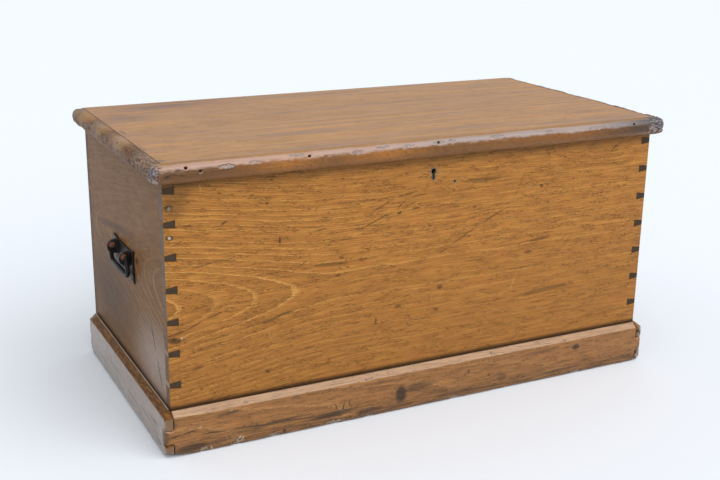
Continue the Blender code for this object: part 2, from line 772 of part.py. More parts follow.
# Plate outline with drawn-out points at its four corners, as (along, height above the pivot)
def handle_plate_outline():
    half = HANDLE_PLATE_WIDTH / 2
    top, foot = HANDLE_PLATE_ABOVE, -HANDLE_PLATE_BELOW
    corners = [(-half, foot), (half, foot), (half, top), (-half, top)]
    outline = []
    for i, (u0, v0) in enumerate(corners):
        u1, v1 = corners[(i + 1) % 4]
        inward = Vector((v0 - v1, u1 - u0)).normalized()
        for step in range(8):
            t = step / 8
            waist = HANDLE_PLATE_WAIST * (1 - abs(2 * t - 1) ** 4)
            u = u0 + (u1 - u0) * t + inward.x * waist
            v = v0 + (v1 - v0) * t + inward.y * waist
            outline.append((u, v))
    return outline


# Centre line of the bail below its pivot, with a radius at each stop
def bail_line():
    arm = EAR_SPREAD / 2 + EAR_THICKNESS / 2 + BAIL_SIDE_GAP + BAIL_RADIUS
    heel = HANDLE_PIVOT_OUT - HANDLE_PLATE - FIT_GAP - FIT_GAP
    corners = [
        (-arm, heel),
        (-arm, -BAIL_HIP, BAIL_BEND / 2),
        (-BAIL_HALF_GRIP, -BAIL_DROP, BAIL_BEND),
        (BAIL_HALF_GRIP, -BAIL_DROP, BAIL_BEND),
        (arm, -BAIL_HIP, BAIL_BEND / 2),
        (arm, heel),
    ]
    bends = eased(corners, 4, closed=False)
    dome = []
    for angle in (0, 30, 60, 80):
        lift = heel - BAIL_RADIUS + BAIL_RADIUS * math.sin(math.radians(angle))
        dome.append((lift, BAIL_RADIUS * math.cos(math.radians(angle))))
    stops = [((-arm, lift), radius) for lift, radius in reversed(dome)]
    middle = len(bends) // 2
    for i, spot in enumerate(bends[1:-1], start=1):
        stops.append((spot, BAIL_RADIUS))
        if i == middle - 1:
            for share in (0.2, 0.4, 0.6, 0.8):
                x = spot[0] + (bends[middle][0] - spot[0]) * share
                grip = BAIL_GRIP_RADIUS if 0.3 < share < 0.7 else (BAIL_GRIP_RADIUS + BAIL_RADIUS) / 2
                stops.append(((x, spot[1]), grip))
    stops += [((arm, lift), radius) for lift, radius in dome]
    return stops, arm


# Round bar bent along a line in the plane across X
def bent_bar(name, x, stops, sides, parent):
    points = []
    spots = [Vector(spot) for spot, radius in stops]
    for i, (spot, radius) in enumerate(stops):
        before = spots[max(i - 1, 0)]
        after = spots[min(i + 1, len(spots) - 1)]
        ahead = (after - before).normalized()
        across = Vector((-ahead.y, ahead.x))
        for side in range(sides):
            angle = 2 * math.pi * side / sides
            offset = across * (radius * math.cos(angle))
            points.append(
                (
                    x + radius * math.sin(angle),
                    HANDLE_Y + spot[0] + offset.x,
                    HANDLE_PIVOT_Z + spot[1] + offset.y,
                )
            )
    faces = [list(range(sides)), list(range(len(points) - sides, len(points)))]
    for ring in range(len(stops) - 1):
        for side in range(sides):
            a = ring * sides + side
            b = ring * sides + (side + 1) % sides
            faces.append([a, b, b + sides, a + sides])
    bar = solid(name, points, faces, parent)
    shade_round(bar)
    return bar


def make_handle(name, side, end_panel):
    base_x = side * (HALF_WIDTH + FIT_GAP)
    plate_x = base_x + side * HANDLE_PLATE
    pivot_x = side * (HALF_WIDTH + HANDLE_PIVOT_OUT)
    outline = [(HANDLE_Y + u, HANDLE_PIVOT_Z + v) for u, v in handle_plate_outline()]
    plate = prism(f"handle_{name}_plate", outline, "X", base_x, plate_x)
    give_material(plate, IRON)
    root_x = base_x + side * HANDLE_PLATE / 2
    root = EAR_RADIUS + EAR_ROOT
    crown = arc((pivot_x, HANDLE_PIVOT_Z), (side * EAR_RADIUS, EAR_RADIUS), -90, 90, EAR_STEPS)
    ear_outline = [(root_x, HANDLE_PIVOT_Z + root), (root_x, HANDLE_PIVOT_Z - root)] + crown
    for i, along in enumerate((-1, 1)):
        middle = HANDLE_Y + along * EAR_SPREAD / 2
        ear = prism(
            f"handle_{name}_ear_{i + 1}",
            ear_outline,
            "Y",
            middle - EAR_THICKNESS / 2,
            middle + EAR_THICKNESS / 2,
        )
        shade_round(ear)
        add(plate, ear)
    bore = rod(
        f"handle_{name}_bore",
        (pivot_x, HANDLE_Y - HANDLE_PLATE_WIDTH, HANDLE_PIVOT_Z),
        (pivot_x, HANDLE_Y + HANDLE_PLATE_WIDTH, HANDLE_PIVOT_Z),
        BAIL_PIVOT_RADIUS + FIT_GAP,
        BORE_SIDES,
    )
    cut(plate, bore)
    axis = axis_empty(f"handle_{name}_axis", (pivot_x, HANDLE_Y, HANDLE_PIVOT_Z))
    stops, arm = bail_line()
    bail = bent_bar(f"handle_{name}_bail", pivot_x, stops, BAR_SIDES, axis)
    give_material(bail, IRON)
    inner_end = EAR_SPREAD / 2 - EAR_THICKNESS / 2 - BAIL_PIVOT_PROUD
    for i, along in enumerate((-1, 1)):
        pivot = rod(
            f"handle_{name}_pivot_{i + 1}",
            (pivot_x, HANDLE_Y + along * arm, HANDLE_PIVOT_Z),
            (pivot_x, HANDLE_Y + along * inner_end, HANDLE_PIVOT_Z),
            BAIL_PIVOT_RADIUS,
            BORE_SIDES,
            axis,
        )
        add(bail, pivot)
    count = 0
    for along in (-1, 1):
        for height in (HANDLE_SCREW_ABOVE, -HANDLE_SCREW_BELOW):
            count += 1
            spot = (plate_x, HANDLE_Y + along * HANDLE_SCREW_SPREAD / 2, HANDLE_PIVOT_Z + height)
            screw(f"handle_{name}_screw_{count}", spot, (-side, 0, 0), 0.6 * count, (plate, end_panel))


# Keyhole outline: a round eye over a round-ended slot, grown by a wall thickness
def keyhole(grow):
    eye = KEY_ROUND + grow
    half = KEY_SLOT_HALF + grow
    drop = math.degrees(math.asin(half / eye))
    outline = arc((KEY_X, KEY_Z), (eye, eye), -90 + drop, 270 - drop, 18)
    outline += arc((KEY_X, KEY_Z - KEY_SLOT_DROP + KEY_SLOT_HALF), (half, half), 180, 360, 8)
    return outline


def make_lock(front, lid_board, axis):
    through = (FRONT_FACE - WALL, FRONT_INSIDE + WALL)
    cut(front, prism("keyhole_cut", keyhole(LINER_WALL + FIT_GAP), "Y", *through))
    liner = prism(
        "keyhole_liner",
        keyhole(LINER_WALL),
        "Y",
        FRONT_FACE - LINER_PROUD,
        LINER_END,
    )
    shade_round(liner)
    give_material(liner, BRASS)
    cut(liner, prism("keyhole_bore", keyhole(0), "Y", *through))

    selvedge_top = WALL_TOP - SELVEDGE_SINK
    selvedge_foot = selvedge_top - LOCK_PLATE
    selvedge_edge = FRONT_INSIDE - SELVEDGE_WIDTH
    section = [
        (FRONT_INSIDE, selvedge_top),
        (selvedge_edge, selvedge_top),
        (selvedge_edge, selvedge_foot),
        (LOCK_PLATE_FACE, selvedge_foot),
        (LOCK_PLATE_FACE, WALL_TOP - LOCK_DROP),
        (FRONT_INSIDE, WALL_TOP - LOCK_DROP),
    ]
    left = KEY_X - LOCK_HALF_WIDTH
    right = KEY_X + LOCK_HALF_WIDTH
    plate = prism("lock_plate", section, "X", left, right)
    give_material(plate, STEEL)
    bed = prism(
        "lock_bed",
        [
            (FRONT_INSIDE + WALL, WALL_TOP + WALL),
            (selvedge_edge - FIT_GAP, WALL_TOP + WALL),
            (selvedge_edge - FIT_GAP, selvedge_foot - FIT_GAP),
            (LOCK_PLATE_FACE - FIT_GAP, selvedge_foot - FIT_GAP),
            (LOCK_PLATE_FACE - FIT_GAP, WALL_TOP - LOCK_DROP - FIT_GAP),
            (FRONT_INSIDE + WALL, WALL_TOP - LOCK_DROP - FIT_GAP),
        ],
        "X",
        left - FIT_GAP,
        right + FIT_GAP,
    )
    cut(front, bed)
    cap_half = LOCK_CAP_HALF_WIDTH
    cap_foot = WALL_TOP - LOCK_CAP_FOOT_DROP
    pocket = block(
        "lock_pocket",
        (KEY_X - cap_half - FIT_GAP, LOCK_CAP_FACE - FIT_GAP, cap_foot - FIT_GAP),
        (KEY_X + cap_half + FIT_GAP, FRONT_INSIDE + WALL, WALL_TOP + WALL),
    )
    cut(front, pocket)
    cap = block(
        "lock_cap",
        (KEY_X - cap_half, LOCK_CAP_FACE, cap_foot),
        (KEY_X + cap_half, LOCK_CAP_FACE + LOCK_CAP_DEPTH, WALL_TOP - LOCK_CAP_TOP_DROP),
    )
    give_material(cap, STEEL)
    inside = LOCK_WORKS_HALF_WIDTH
    works = block(
        "lock_works",
        (KEY_X - inside, LOCK_CAP_FACE + LOCK_CAP_WALL, cap_foot + LOCK_CAP_WALL),
        (KEY_X + inside, FRONT_INSIDE, WALL_TOP),
    )
    cut(cap, works)
    cut(cap, prism("lock_cap_keyhole", keyhole(0), "Y", LOCK_CAP_FACE - WALL, FRONT_INSIDE))
    pin = rod(
        "lock_key_pin",
        (KEY_X, LOCK_PLATE_FACE - FIT_GAP, KEY_Z),
        (KEY_X, LOCK_PLATE_FACE - FIT_GAP - LOCK_KEY_PIN_LENGTH, KEY_Z),
        LOCK_KEY_PIN_RADIUS,
        BORE_SIDES,
    )
    give_material(pin, STEEL)

    links = [KEY_X - LINK_SPREAD / 2, KEY_X + LINK_SPREAD / 2]
    for i, x in enumerate(links):
        half_x = LINK_THICKNESS / 2 + LINK_CLEARANCE
        half_y = LINK_WIDTH / 2 + LINK_CLEARANCE
        slot = block(
            f"lock_link_slot_{i + 1}",
            (x - half_x, LINK_Y - half_y, selvedge_foot - LOCK_PLATE),
            (x + half_x, LINK_Y + half_y, selvedge_top + WALL),
        )
        cut(plate, slot)
    make_bolt(links)
    make_link_plate(links, lid_board, axis)
    count = 0
    for along in (-1, 1):
        for drop in (LOCK_SCREW_HIGH, LOCK_SCREW_LOW):
            count += 1
            spot = (KEY_X + along * LOCK_SCREW_SPREAD / 2, FRONT_INSIDE, WALL_TOP - drop)
            screw(f"lock_screw_{count}", spot, (0, -1, 0), 0.9 * count, (plate, front))


# Sliding bolt: a talon bar with two fingers that enter the link windows
def make_bolt(links):
    bar_top = LINK_BOTTOM - BOLT_REST_GAP
    bar_foot = bar_top - BOLT_BAR_HEIGHT
    finger_low = WINDOW_Z - BOLT_FINGER_HEIGHT / 2
    finger_high = WINDOW_Z + BOLT_FINGER_HEIGHT / 2
    tips = [x - BOLT_REACH for x in links]
    stems = [tip - BOLT_FINGER_LENGTH for tip in tips]
    outline = [
        (stems[0], bar_foot),
        (KEY_X - BOLT_TALON / 2, bar_foot),
        (KEY_X - BOLT_TALON / 2, bar_foot + BOLT_TALON_RISE),
        (KEY_X + BOLT_TALON / 2, bar_foot + BOLT_TALON_RISE),
        (KEY_X + BOLT_TALON / 2, bar_foot),
        (tips[1], bar_foot),
        (tips[1], bar_top),
        (stems[1] + BOLT_STEM, bar_top),
        (stems[1] + BOLT_STEM, finger_low),
        (tips[1], finger_low),
        (tips[1], finger_high),
        (stems[1], finger_high),
        (stems[1], bar_top),
        (stems[0] + BOLT_STEM, bar_top),
        (stems[0] + BOLT_STEM, finger_low),
        (tips[0], finger_low),
        (tips[0], finger_high),
        (stems[0], finger_high),
    ]
    axis = axis_empty("lock_bolt_axis", (KEY_X, LINK_Y, WINDOW_Z))
    bolt = prism(
        "lock_bolt", outline, "Y", LINK_Y - BOLT_THICKNESS / 2, LINK_Y + BOLT_THICKNESS / 2, axis
    )
    give_material(bolt, BRASS)
    stud_x = KEY_X + BOLT_STUD_OFFSET
    stud_z = (bar_top + bar_foot) / 2
    loose = BOLT_STUD_RADIUS + FIT_GAP
    track = arc((stud_x, stud_z), (loose, loose), -90, 90, 6)
    track += arc((stud_x - BOLT_TRAVEL, stud_z), (loose, loose), 90, 270, 6)
    cut(bolt, prism("lock_bolt_track", track, "Y", LINK_Y - WALL, LINK_Y + WALL, axis))
    root_y = LOCK_PLATE_FACE - FIT_GAP
    tip_y = LOCK_CAP_FACE + LOCK_CAP_WALL + FIT_GAP
    collar = root_y - LINK_Y - BOLT_THICKNESS / 2 - FIT_GAP
    shape = [
        (0.0, BOLT_STUD_COLLAR),
        (collar, BOLT_STUD_COLLAR),
        (collar, BOLT_STUD_RADIUS),
        (root_y - tip_y, BOLT_STUD_RADIUS),
    ]
    stud = turned(
        "lock_bolt_stud", (stud_x, root_y, stud_z), (stud_x, tip_y, stud_z), shape, BORE_SIDES
    )
    give_material(stud, STEEL)


# Plate under the lid with two windowed links that drop through the lock's selvedge
def make_link_plate(links, lid_board, axis):
    start = LINK_Y - LINK_PLATE_DEPTH / 2
    end = LINK_Y + LINK_PLATE_DEPTH / 2
    left = KEY_X - LINK_PLATE_HALF_WIDTH
    right = KEY_X + LINK_PLATE_HALF_WIDTH
    half = LINK_THICKNESS / 2
    top = LID_UNDER + LINK_PLATE
    plate = block("link_plate", (left, start, LID_UNDER), (right, end, top), axis)
    give_material(plate, STEEL)
    for i, x in enumerate(links):
        link = block(
            f"link_plate_link_{i + 1}",
            (x - half, LINK_Y - LINK_WIDTH / 2, LINK_BOTTOM),
            (x + half, LINK_Y + LINK_WIDTH / 2, LID_UNDER + LINK_PLATE / 2),
            axis,
        )
        add(plate, link)
        window = block(
            f"link_plate_window_{i + 1}",
            (x - WALL / 2, LINK_Y - LINK_WINDOW_WIDTH / 2, WINDOW_Z - LINK_WINDOW_HEIGHT / 2),
            (x + WALL / 2, LINK_Y + LINK_WINDOW_WIDTH / 2, WINDOW_Z + LINK_WINDOW_HEIGHT / 2),
            axis,
        )
        cut(plate, window)
    bed = block(
        "link_plate_bed",
        (left - FIT_GAP, start - FIT_GAP, LID_UNDER - WALL),
        (right + FIT_GAP, end + FIT_GAP, top + FIT_GAP),
        axis,
    )
    cut(lid_board, bed)
    for i, along in enumerate((-1, 1)):
        spot = (KEY_X + along * LINK_SCREW_SPREAD / 2, LINK_Y, LID_UNDER)
        screw(f"link_plate_screw_{i + 1}", spot, (0, 0, 1), 1.1 * i + 0.4, (plate, lid_board), axis)


def main():
    for thing in list(bpy.data.objects):
        bpy.data.objects.remove(thing, do_unlink=True)
    lid_axis = axis_empty("lid_hinge_axis", (0, HINGE_Y, HINGE_Z))
    front, back, left, right = make_case()
    make_plinth()
    lid_front_board, lid_rear_board = make_lid(lid_axis)
    make_hinges(back, lid_rear_board, lid_axis)
    make_handle("left", -1, left)
    make_handle("right", 1, right)
    make_lock(front, lid_front_board, lid_axis)
    for thing in bpy.data.objects:
        if not thing.parent:
            thing.location.y += CENTRE_SHIFT


main()
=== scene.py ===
import json
import math

import bmesh
import bpy
import numpy as np
from mathutils import Matrix, Vector, noise


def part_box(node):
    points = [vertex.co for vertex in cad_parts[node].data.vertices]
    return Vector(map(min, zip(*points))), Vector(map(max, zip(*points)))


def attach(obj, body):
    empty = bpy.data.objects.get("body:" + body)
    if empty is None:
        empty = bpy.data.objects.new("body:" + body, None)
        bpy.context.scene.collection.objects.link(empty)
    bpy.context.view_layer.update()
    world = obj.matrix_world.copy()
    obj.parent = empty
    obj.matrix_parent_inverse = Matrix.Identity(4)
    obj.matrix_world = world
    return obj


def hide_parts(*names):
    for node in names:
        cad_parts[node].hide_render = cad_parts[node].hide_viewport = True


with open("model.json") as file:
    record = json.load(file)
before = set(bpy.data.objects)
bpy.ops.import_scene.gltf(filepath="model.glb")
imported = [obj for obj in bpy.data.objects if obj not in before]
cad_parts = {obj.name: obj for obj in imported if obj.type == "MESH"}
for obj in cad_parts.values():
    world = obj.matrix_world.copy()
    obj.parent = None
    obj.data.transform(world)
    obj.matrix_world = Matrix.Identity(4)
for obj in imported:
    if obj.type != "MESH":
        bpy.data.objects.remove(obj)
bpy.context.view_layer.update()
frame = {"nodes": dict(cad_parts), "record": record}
nodes = frame["nodes"]
slotOf = {part["node"]: part["material_slot"] for part in frame["record"]["subparts"]}
scene = bpy.context.scene
print("frame:", len(nodes), "nodes loaded")


# Small helpers

def linear(hexColour):
    # sRGB hex to linear RGBA
    channels = [int(hexColour[i:i + 2], 16) / 255 for i in (1, 3, 5)]
    return (*[c / 12.92 if c <= 0.04045 else ((c + 0.055) / 1.055) ** 2.4 for c in channels], 1)


def addNode(tree, kind, inputs=None, size=None, **settings):
    # one node with its settings and links; size is the pattern's cell in the units of its Vector input
    inputs = dict(inputs or {})
    if size:
        inputs["Vector"] = addNode(tree, "VectorMath", {0: inputs["Vector"], 1: size}, operation="DIVIDE")
    node = tree.nodes.new("ShaderNode" + kind)
    for name, value in settings.items():
        setattr(node, name, value)
    for key, value in inputs.items():
        if isinstance(value, bpy.types.Node):
            value = value.outputs[0]
        if isinstance(value, bpy.types.NodeSocket):
            tree.links.new(value, node.inputs[key])
        else:
            node.inputs[key].default_value = value
    return node


def startMaterial(name):
    material = bpy.data.materials.new(name)
    material.use_nodes = True
    material.node_tree.nodes.clear()
    return material, material.node_tree


def closeSurface(tree, colour, roughness, height, depth, **fixed):
    # depth is how far the height stands out, in metres; fixed holds the shader's constant sockets
    bump = addNode(tree, "Bump", {"Height": height, "Distance": depth, "Strength": 1.0})
    sockets = {"Base Color": colour, "Roughness": roughness, "Normal": bump}
    sockets.update({name.replace("_", " "): value for name, value in fixed.items()})
    shader = addNode(tree, "BsdfPrincipled", sockets)
    addNode(tree, "OutputMaterial", {"Surface": shader})


def calc(tree, operation, *values):
    return addNode(tree, "Math", dict(enumerate(values)), operation=operation)


def times(tree, a, b):
    return calc(tree, "MULTIPLY", a, b)


def ease(tree, value, start, end, most=1.0):
    # a soft step from 0 at start to most at end
    return addNode(tree, "MapRange", {"Value": value, "From Min": start, "From Max": end, "To Max": most},
                   interpolation_type="SMOOTHSTEP")


def slope(tree, value, start, end, least=0.0, most=1.0):
    # a straight rise from least at start to most at end
    return addNode(tree, "MapRange", {"Value": value, "From Min": start, "From Max": end, "To Min": least,
                                      "To Max": most})


def blend(tree, share, first, second):
    return addNode(tree, "MixRGB", {"Fac": share, "Color1": first, "Color2": second})


def clouds(tree, place, size, detail=2, rough=0.5):
    return addNode(tree, "TexNoise", {"Vector": place, "Detail": detail, "Roughness": rough}, size=size)


def inMillimetres(tree, place):
    return addNode(tree, "VectorMath", {0: place, "Scale": 1000}, operation="SCALE")


def weld(piece):
    # joins the split points along a solid's edges
    piece.modifiers.new("weld", "WELD").merge_threshold = 0.00002


def wear(names, material):
    for name in names:
        nodes[name].data.materials.clear()
        nodes[name].data.materials.append(material)


# Camera, light and floor

cameraView = {
    "lens": 56.07,                            # mm on a 36 mm wide sensor, for an image of 720 x 480
    "place": (-0.9509, -1.8505, 0.8904),      # metres
    "yaw": 26.85,                             # degrees to the right of +Y
    "pitch": -17.35,
    "roll": 0.82,
}


def setCamera(view):
    camera = bpy.data.objects.new("camera", bpy.data.cameras.new("camera"))
    camera.data.sensor_width = 36
    camera.data.lens = view["lens"]
    turn = Matrix.Rotation(-math.radians(view["yaw"]), 4, "Z")
    tilt = Matrix.Rotation(math.radians(90 + view["pitch"]), 4, "X")
    lean = Matrix.Rotation(math.radians(view["roll"]), 4, "Z")
    camera.matrix_world = Matrix.Translation(view["place"]) @ turn @ tilt @ lean
    scene.collection.objects.link(camera)
    scene.camera = camera


studio = {
    "keyFrom": (0.12, -0.63, 0.74),           # the key light shines from the front, a little right
    "keySpread": 75,                          # degrees, as wide as a bank of soft boxes
    "keyPower": 2.05,
    "skyColour": "#f2f4f8",
    "skyLight": 0.66,                         # world strength on the object
    "skySeen": 0.86,                          # world strength as the backdrop
    "floorTones": ("#eaf0f6", "#f3f8fe"),
    "floorSize": 30,                          # metres
    "grit": 9,                                # mm, cells of the floor's faint mottling
}


def setStudio(look):
    light = bpy.data.lights.new("key", "SUN")
    light.angle = math.radians(look["keySpread"])
    light.energy = look["keyPower"]
    key = bpy.data.objects.new("key", light)
    key.rotation_euler = Vector(look["keyFrom"]).to_track_quat("Z", "Y").to_euler()
    scene.collection.objects.link(key)

    world = bpy.data.worlds.new("studio")
    scene.world = world
    world.use_nodes = True
    tree = world.node_tree
    tree.nodes.clear()
    fromCamera = addNode(tree, "LightPath").outputs["Is Camera Ray"]
    seen = slope(tree, fromCamera, 0, 1, look["skyLight"], look["skySeen"])
    sky = addNode(tree, "Background", {"Color": linear(look["skyColour"]), "Strength": seen})
    addNode(tree, "OutputWorld", {"Surface": sky})

    half = look["floorSize"] / 2
    mesh = bpy.data.meshes.new("floor")
    corners = [(-half, -half, 0), (half, -half, 0), (half, half, 0), (-half, half, 0)]
    mesh.from_pydata(corners, [], [(0, 1, 2, 3)])
    floor = bpy.data.objects.new("floor", mesh)
    scene.collection.objects.link(floor)
    material, tree = startMaterial("pale_floor")
    place = addNode(tree, "TexCoord").outputs["Object"]
    mottle = clouds(tree, place, (look["grit"] / 1000,) * 3, 3)
    closeSurface(tree, blend(tree, mottle, *map(linear, look["floorTones"])), 0.85, mottle, 0.0002)
    mesh.materials.append(material)


setCamera(cameraView)
setStudio(studio)
scene.view_settings.view_transform = "Standard"
print("stage: camera, key light, sky and floor")


# Pine, sawn from a tapering trunk. Rings are cylinders about the pith, so one pattern gives the flames on a
# face, the stripes on an edge and the arcs on end grain. Old wax leaves the late wood pale and shiny, and
# dirt sits in the early wood as short dark dashes along the grain.

waxedPine = {
    "early": "#c0833b", "warm": "#b27135", "late": "#dba458", "shade": "#7f5426", "dash": "#3f2c17",
    "murk": "#6c5d37", "end": "#392e24", "endPale": "#564638", "bare": "#b79c78",
    "rough": 0.36, "line": 0.6, "streaks": 0.7, "dashes": 0.9, "murky": 0.35, "specks": 0.75,
    # cells of the patterns in mm, along and across the grain and into the board
    "wanderSize": (400, 95, 95), "jagSize": (46, 9, 9), "fibreSize": (34, 1.5, 5),
    "streakSize": (300, 3.0, 20), "dashSize": (30, 2.3, 10), "clusterSize": (150, 30, 42),
    "murkSize": (80, 5, 20), "mottleSize": (190, 75, 75), "ruffleSize": (7, 4, 7), "poreSize": (4, 4, 4),
    "speckSize": 46,
    "clusterFrom": 0.40,                      # how rare the clusters of dashes are
    "ruffleBy": (7, 5, 0),                    # mm, how far the outline of a mark is pushed about
    # the trunk: wander, jag and ring width in mm, and where its taper stops and turns along the board
    "swing": 4, "jag": 2.2, "ring": 8.0, "taper": 0.0, "cap": None, "capSoft": 90, "middle": 0, "flare": 60,
    "bold": None,                             # where the rings show boldly, and how much is left elsewhere
    "inside": None,                           # the axis and sign of the bare inner face
}


def growPine(tree, board):
    board = {**waxedPine, **board}
    spot = addNode(tree, "TexCoord")
    mm = inMillimetres(tree, spot.outputs["Object"])
    axes = addNode(tree, "SeparateXYZ", {0: mm})
    along, across, depth = (axes.outputs[axis] for axis in board["axes"])
    face = addNode(tree, "CombineXYZ", {0: along, 1: across, 2: depth})
    normal = addNode(tree, "SeparateXYZ", {0: spot.outputs["Normal"]})

    # distance from the pith, with the trunk's wander and taper
    wander = clouds(tree, face, board["wanderSize"], 1.5)
    swing = calc(tree, "MULTIPLY_ADD", wander, 2 * board["swing"], -board["swing"])
    pithAcross, pithDepth = board["pith"]
    lift = calc(tree, "SUBTRACT", across, pithAcross)
    sway = calc(tree, "ADD", lift, swing)
    offset = addNode(tree, "CombineXYZ", {0: sway, 1: calc(tree, "SUBTRACT", depth, pithDepth)})
    radius = addNode(tree, "VectorMath", {0: offset}, operation="LENGTH").outputs["Value"]
    run = along
    if board["cap"] is not None:
        run = calc(tree, "SMOOTH_MIN", along, board["cap"], board["capSoft"])
    radius = calc(tree, "MULTIPLY_ADD", run, board["taper"], radius)
    radius = calc(tree, "MULTIPLY_ADD", clouds(tree, face, board["jagSize"]), board["jag"], radius)

    ring = calc(tree, "DIVIDE", radius, board["ring"])
    phase = calc(tree, "FRACT", ring)
    count = calc(tree, "FLOOR", ring)
    lot = addNode(tree, "TexWhiteNoise", {"W": count}, noise_dimensions="1D").outputs["Value"]
    line = ease(tree, phase, 0.2, 0.0)
    gather = ease(tree, phase, 0.35, 0.98)

    # fibres, streaks and dirty dashes run along the grain and lean with the taper away from the pith
    lean = calc(tree, "TANH", calc(tree, "DIVIDE", lift, board["flare"]))
    lean = times(tree, lean, calc(tree, "SUBTRACT", run, board["middle"]))
    grain = calc(tree, "MULTIPLY_ADD", lean, board["taper"], sway)
    follow = addNode(tree, "CombineXYZ", {0: along, 1: grain, 2: depth})
    fibre = clouds(tree, follow, board["fibreSize"])
    streak = clouds(tree, follow, board["streakSize"], 1.5)
    dash = ease(tree, clouds(tree, follow, board["dashSize"], 1), 0.58, 0.65)
    cluster = clouds(tree, follow, board["clusterSize"])
    cluster = ease(tree, cluster, board["clusterFrom"], board["clusterFrom"] + 0.22)
    murk = ease(tree, clouds(tree, follow, board["murkSize"]), 0.53, 0.66)
    mottle = clouds(tree, face, board["mottleSize"], 3, 0.6)

    early, warm, late, shade = (linear(board[name]) for name in ("early", "warm", "late", "shade"))
    tone = blend(tree, slope(tree, mottle, 0.3, 0.7), early, warm)
    tone = blend(tree, ease(tree, streak, 0.42, 0.68, board["streaks"]), tone, shade)
    tone = blend(tree, ease(tree, streak, 0.44, 0.28, 0.5 * board["streaks"]), tone, late)
    murky = times(tree, times(tree, murk, cluster), board["murky"])
    tone = blend(tree, murky, tone, linear(board["murk"]))
    strength = slope(tree, lot, 0, 1, 0.3 * board["line"], board["line"])
    if board["bold"]:
        way, start, end, least = board["bold"]
        place = {"along": along, "across": across}[way]
        strength = times(tree, strength, slope(tree, place, start, end, 1, least))
    tone = blend(tree, times(tree, times(tree, gather, strength), 0.6), tone, shade)
    pale = times(tree, line, strength)
    tone = blend(tree, pale, tone, late)
    tone = blend(tree, slope(tree, fibre, 0.42, 0.72, 0, 0.5), tone, shade)
    dirt = times(tree, times(tree, dash, cluster), board["dashes"])
    tone = blend(tree, dirt, tone, linear(board["dash"]))

    # small dents that hold dirt, one in some cells
    ruffle = clouds(tree, face, board["ruffleSize"]).outputs["Color"]
    ruffle = addNode(tree, "VectorMath", {0: ruffle, 1: board["ruffleBy"], 2: face}, operation="MULTIPLY_ADD")
    cell = (board["speckSize"], board["speckSize"], 1e5)
    cells = addNode(tree, "TexVoronoi", {"Vector": ruffle, "Scale": 1}, size=cell)
    chance = addNode(tree, "SeparateColor", {0: cells.outputs["Color"]})
    width = slope(tree, chance, 0.55, 1, 0, 0.1)
    near = calc(tree, "SUBTRACT", width, cells.outputs["Distance"])
    speck = ease(tree, near, 0.0, 0.04, board["specks"])
    tone = blend(tree, speck, tone, linear(board["dash"]))

    # the inside was never waxed, and end grain drinks the wax and turns dark
    outer = None
    if board["inside"]:
        axis, sign = board["inside"]
        facing = times(tree, normal.outputs[axis], sign)
        inner = slope(tree, facing, 0.6, 0.9)
        outer = ease(tree, facing, 0.5, 0.2)
        tone = blend(tree, inner, tone, blend(tree, 0.6, tone, linear(board["bare"])))
    cut = slope(tree, calc(tree, "ABSOLUTE", normal.outputs[board["axes"][0]]), 0.72, 0.92)
    pores = slope(tree, clouds(tree, mm, board["poreSize"], 3), 0.35, 0.75)
    tone = blend(tree, cut, tone, blend(tree, pores, linear(board["end"]), linear(board["endPale"])))

    height = calc(tree, "MULTIPLY_ADD", fibre, 0.3, pale)
    height = calc(tree, "SUBTRACT", height, dirt)
    height = calc(tree, "SUBTRACT", height, speck)
    rough = calc(tree, "MULTIPLY_ADD", fibre, 0.16, board["rough"] - 0.08)
    rough = calc(tree, "MULTIPLY_ADD", dirt, 0.25, rough)
    return {"tone": tone, "height": height, "rough": rough, "face": face, "mm": mm, "normal": normal,
            "along": along, "across": across, "depth": depth, "ruffle": ruffle, "streak": streak,
            "outer": outer}


def veil(tree, grown, mask, colour):
    grown["tone"] = blend(tree, mask, grown["tone"], linear(colour))


def keepMost(tree, mask, shape):
    return shape if mask is None else calc(tree, "MAXIMUM", mask, shape)


def spotMask(tree, grown, marks, soft, where=None):
    # marks are stretched spots: along, across, half length, half width in mm, turn in degrees, strength
    pushAlong, pushAcross = (push / 2 for push in waxedPine["ruffleBy"][:2])
    mask = None
    for along, across, length, width, turn, strength in marks:
        local = addNode(tree, "Mapping", {
            "Vector": grown["ruffle"], "Location": (along + pushAlong, across + pushAcross, 0),
            "Rotation": (0, 0, math.radians(turn)), "Scale": (length, width, 1e6)}, vector_type="TEXTURE")
        far = addNode(tree, "VectorMath", {0: local}, operation="LENGTH").outputs["Value"]
        mask = keepMost(tree, mask, ease(tree, far, 1.0, soft, strength))
    return times(tree, mask, where) if where else mask


def markWood(tree, grown, marks, colour, soft=0.45, sink=0.0, where=None):
    mask = spotMask(tree, grown, marks, soft, where)
    veil(tree, grown, mask, colour)
    if sink:
        grown["height"] = calc(tree, "MULTIPLY_ADD", mask, -sink, grown["height"])


def dotWood(tree, grown, dots, colour):
    # dots are small balls of stain: x, y, z, radius in mm
    mask = None
    for x, y, z, radius in dots:
        far = addNode(tree, "VectorMath", {0: grown["mm"], 1: (x, y, z)}, operation="DISTANCE")
        mask = keepMost(tree, mask, ease(tree, far.outputs["Value"], radius, 0.6 * radius, 0.95))
    veil(tree, grown, mask, colour)


def scratch(points, width, strength):
    # a scratch through points (along, across) as a row of thin marks
    marks = []
    for (a, b), (c, d) in zip(points, points[1:]):
        half = math.hypot(c - a, d - b) / 2
        turn = math.degrees(math.atan2(d - b, c - a))
        marks.append(((a + c) / 2, (b + d) / 2, half * 1.12, width, turn, strength))
    return marks


def footDirtAndShade(tree, grown, look):
    # dirt and painted shade in the corner above the plinth, on the outside alone
    low, high, tone = look["foot"]
    rise = ease(tree, grown["across"], high, low, 0.85)
    veil(tree, grown, times(tree, grown["outer"], rise), tone)


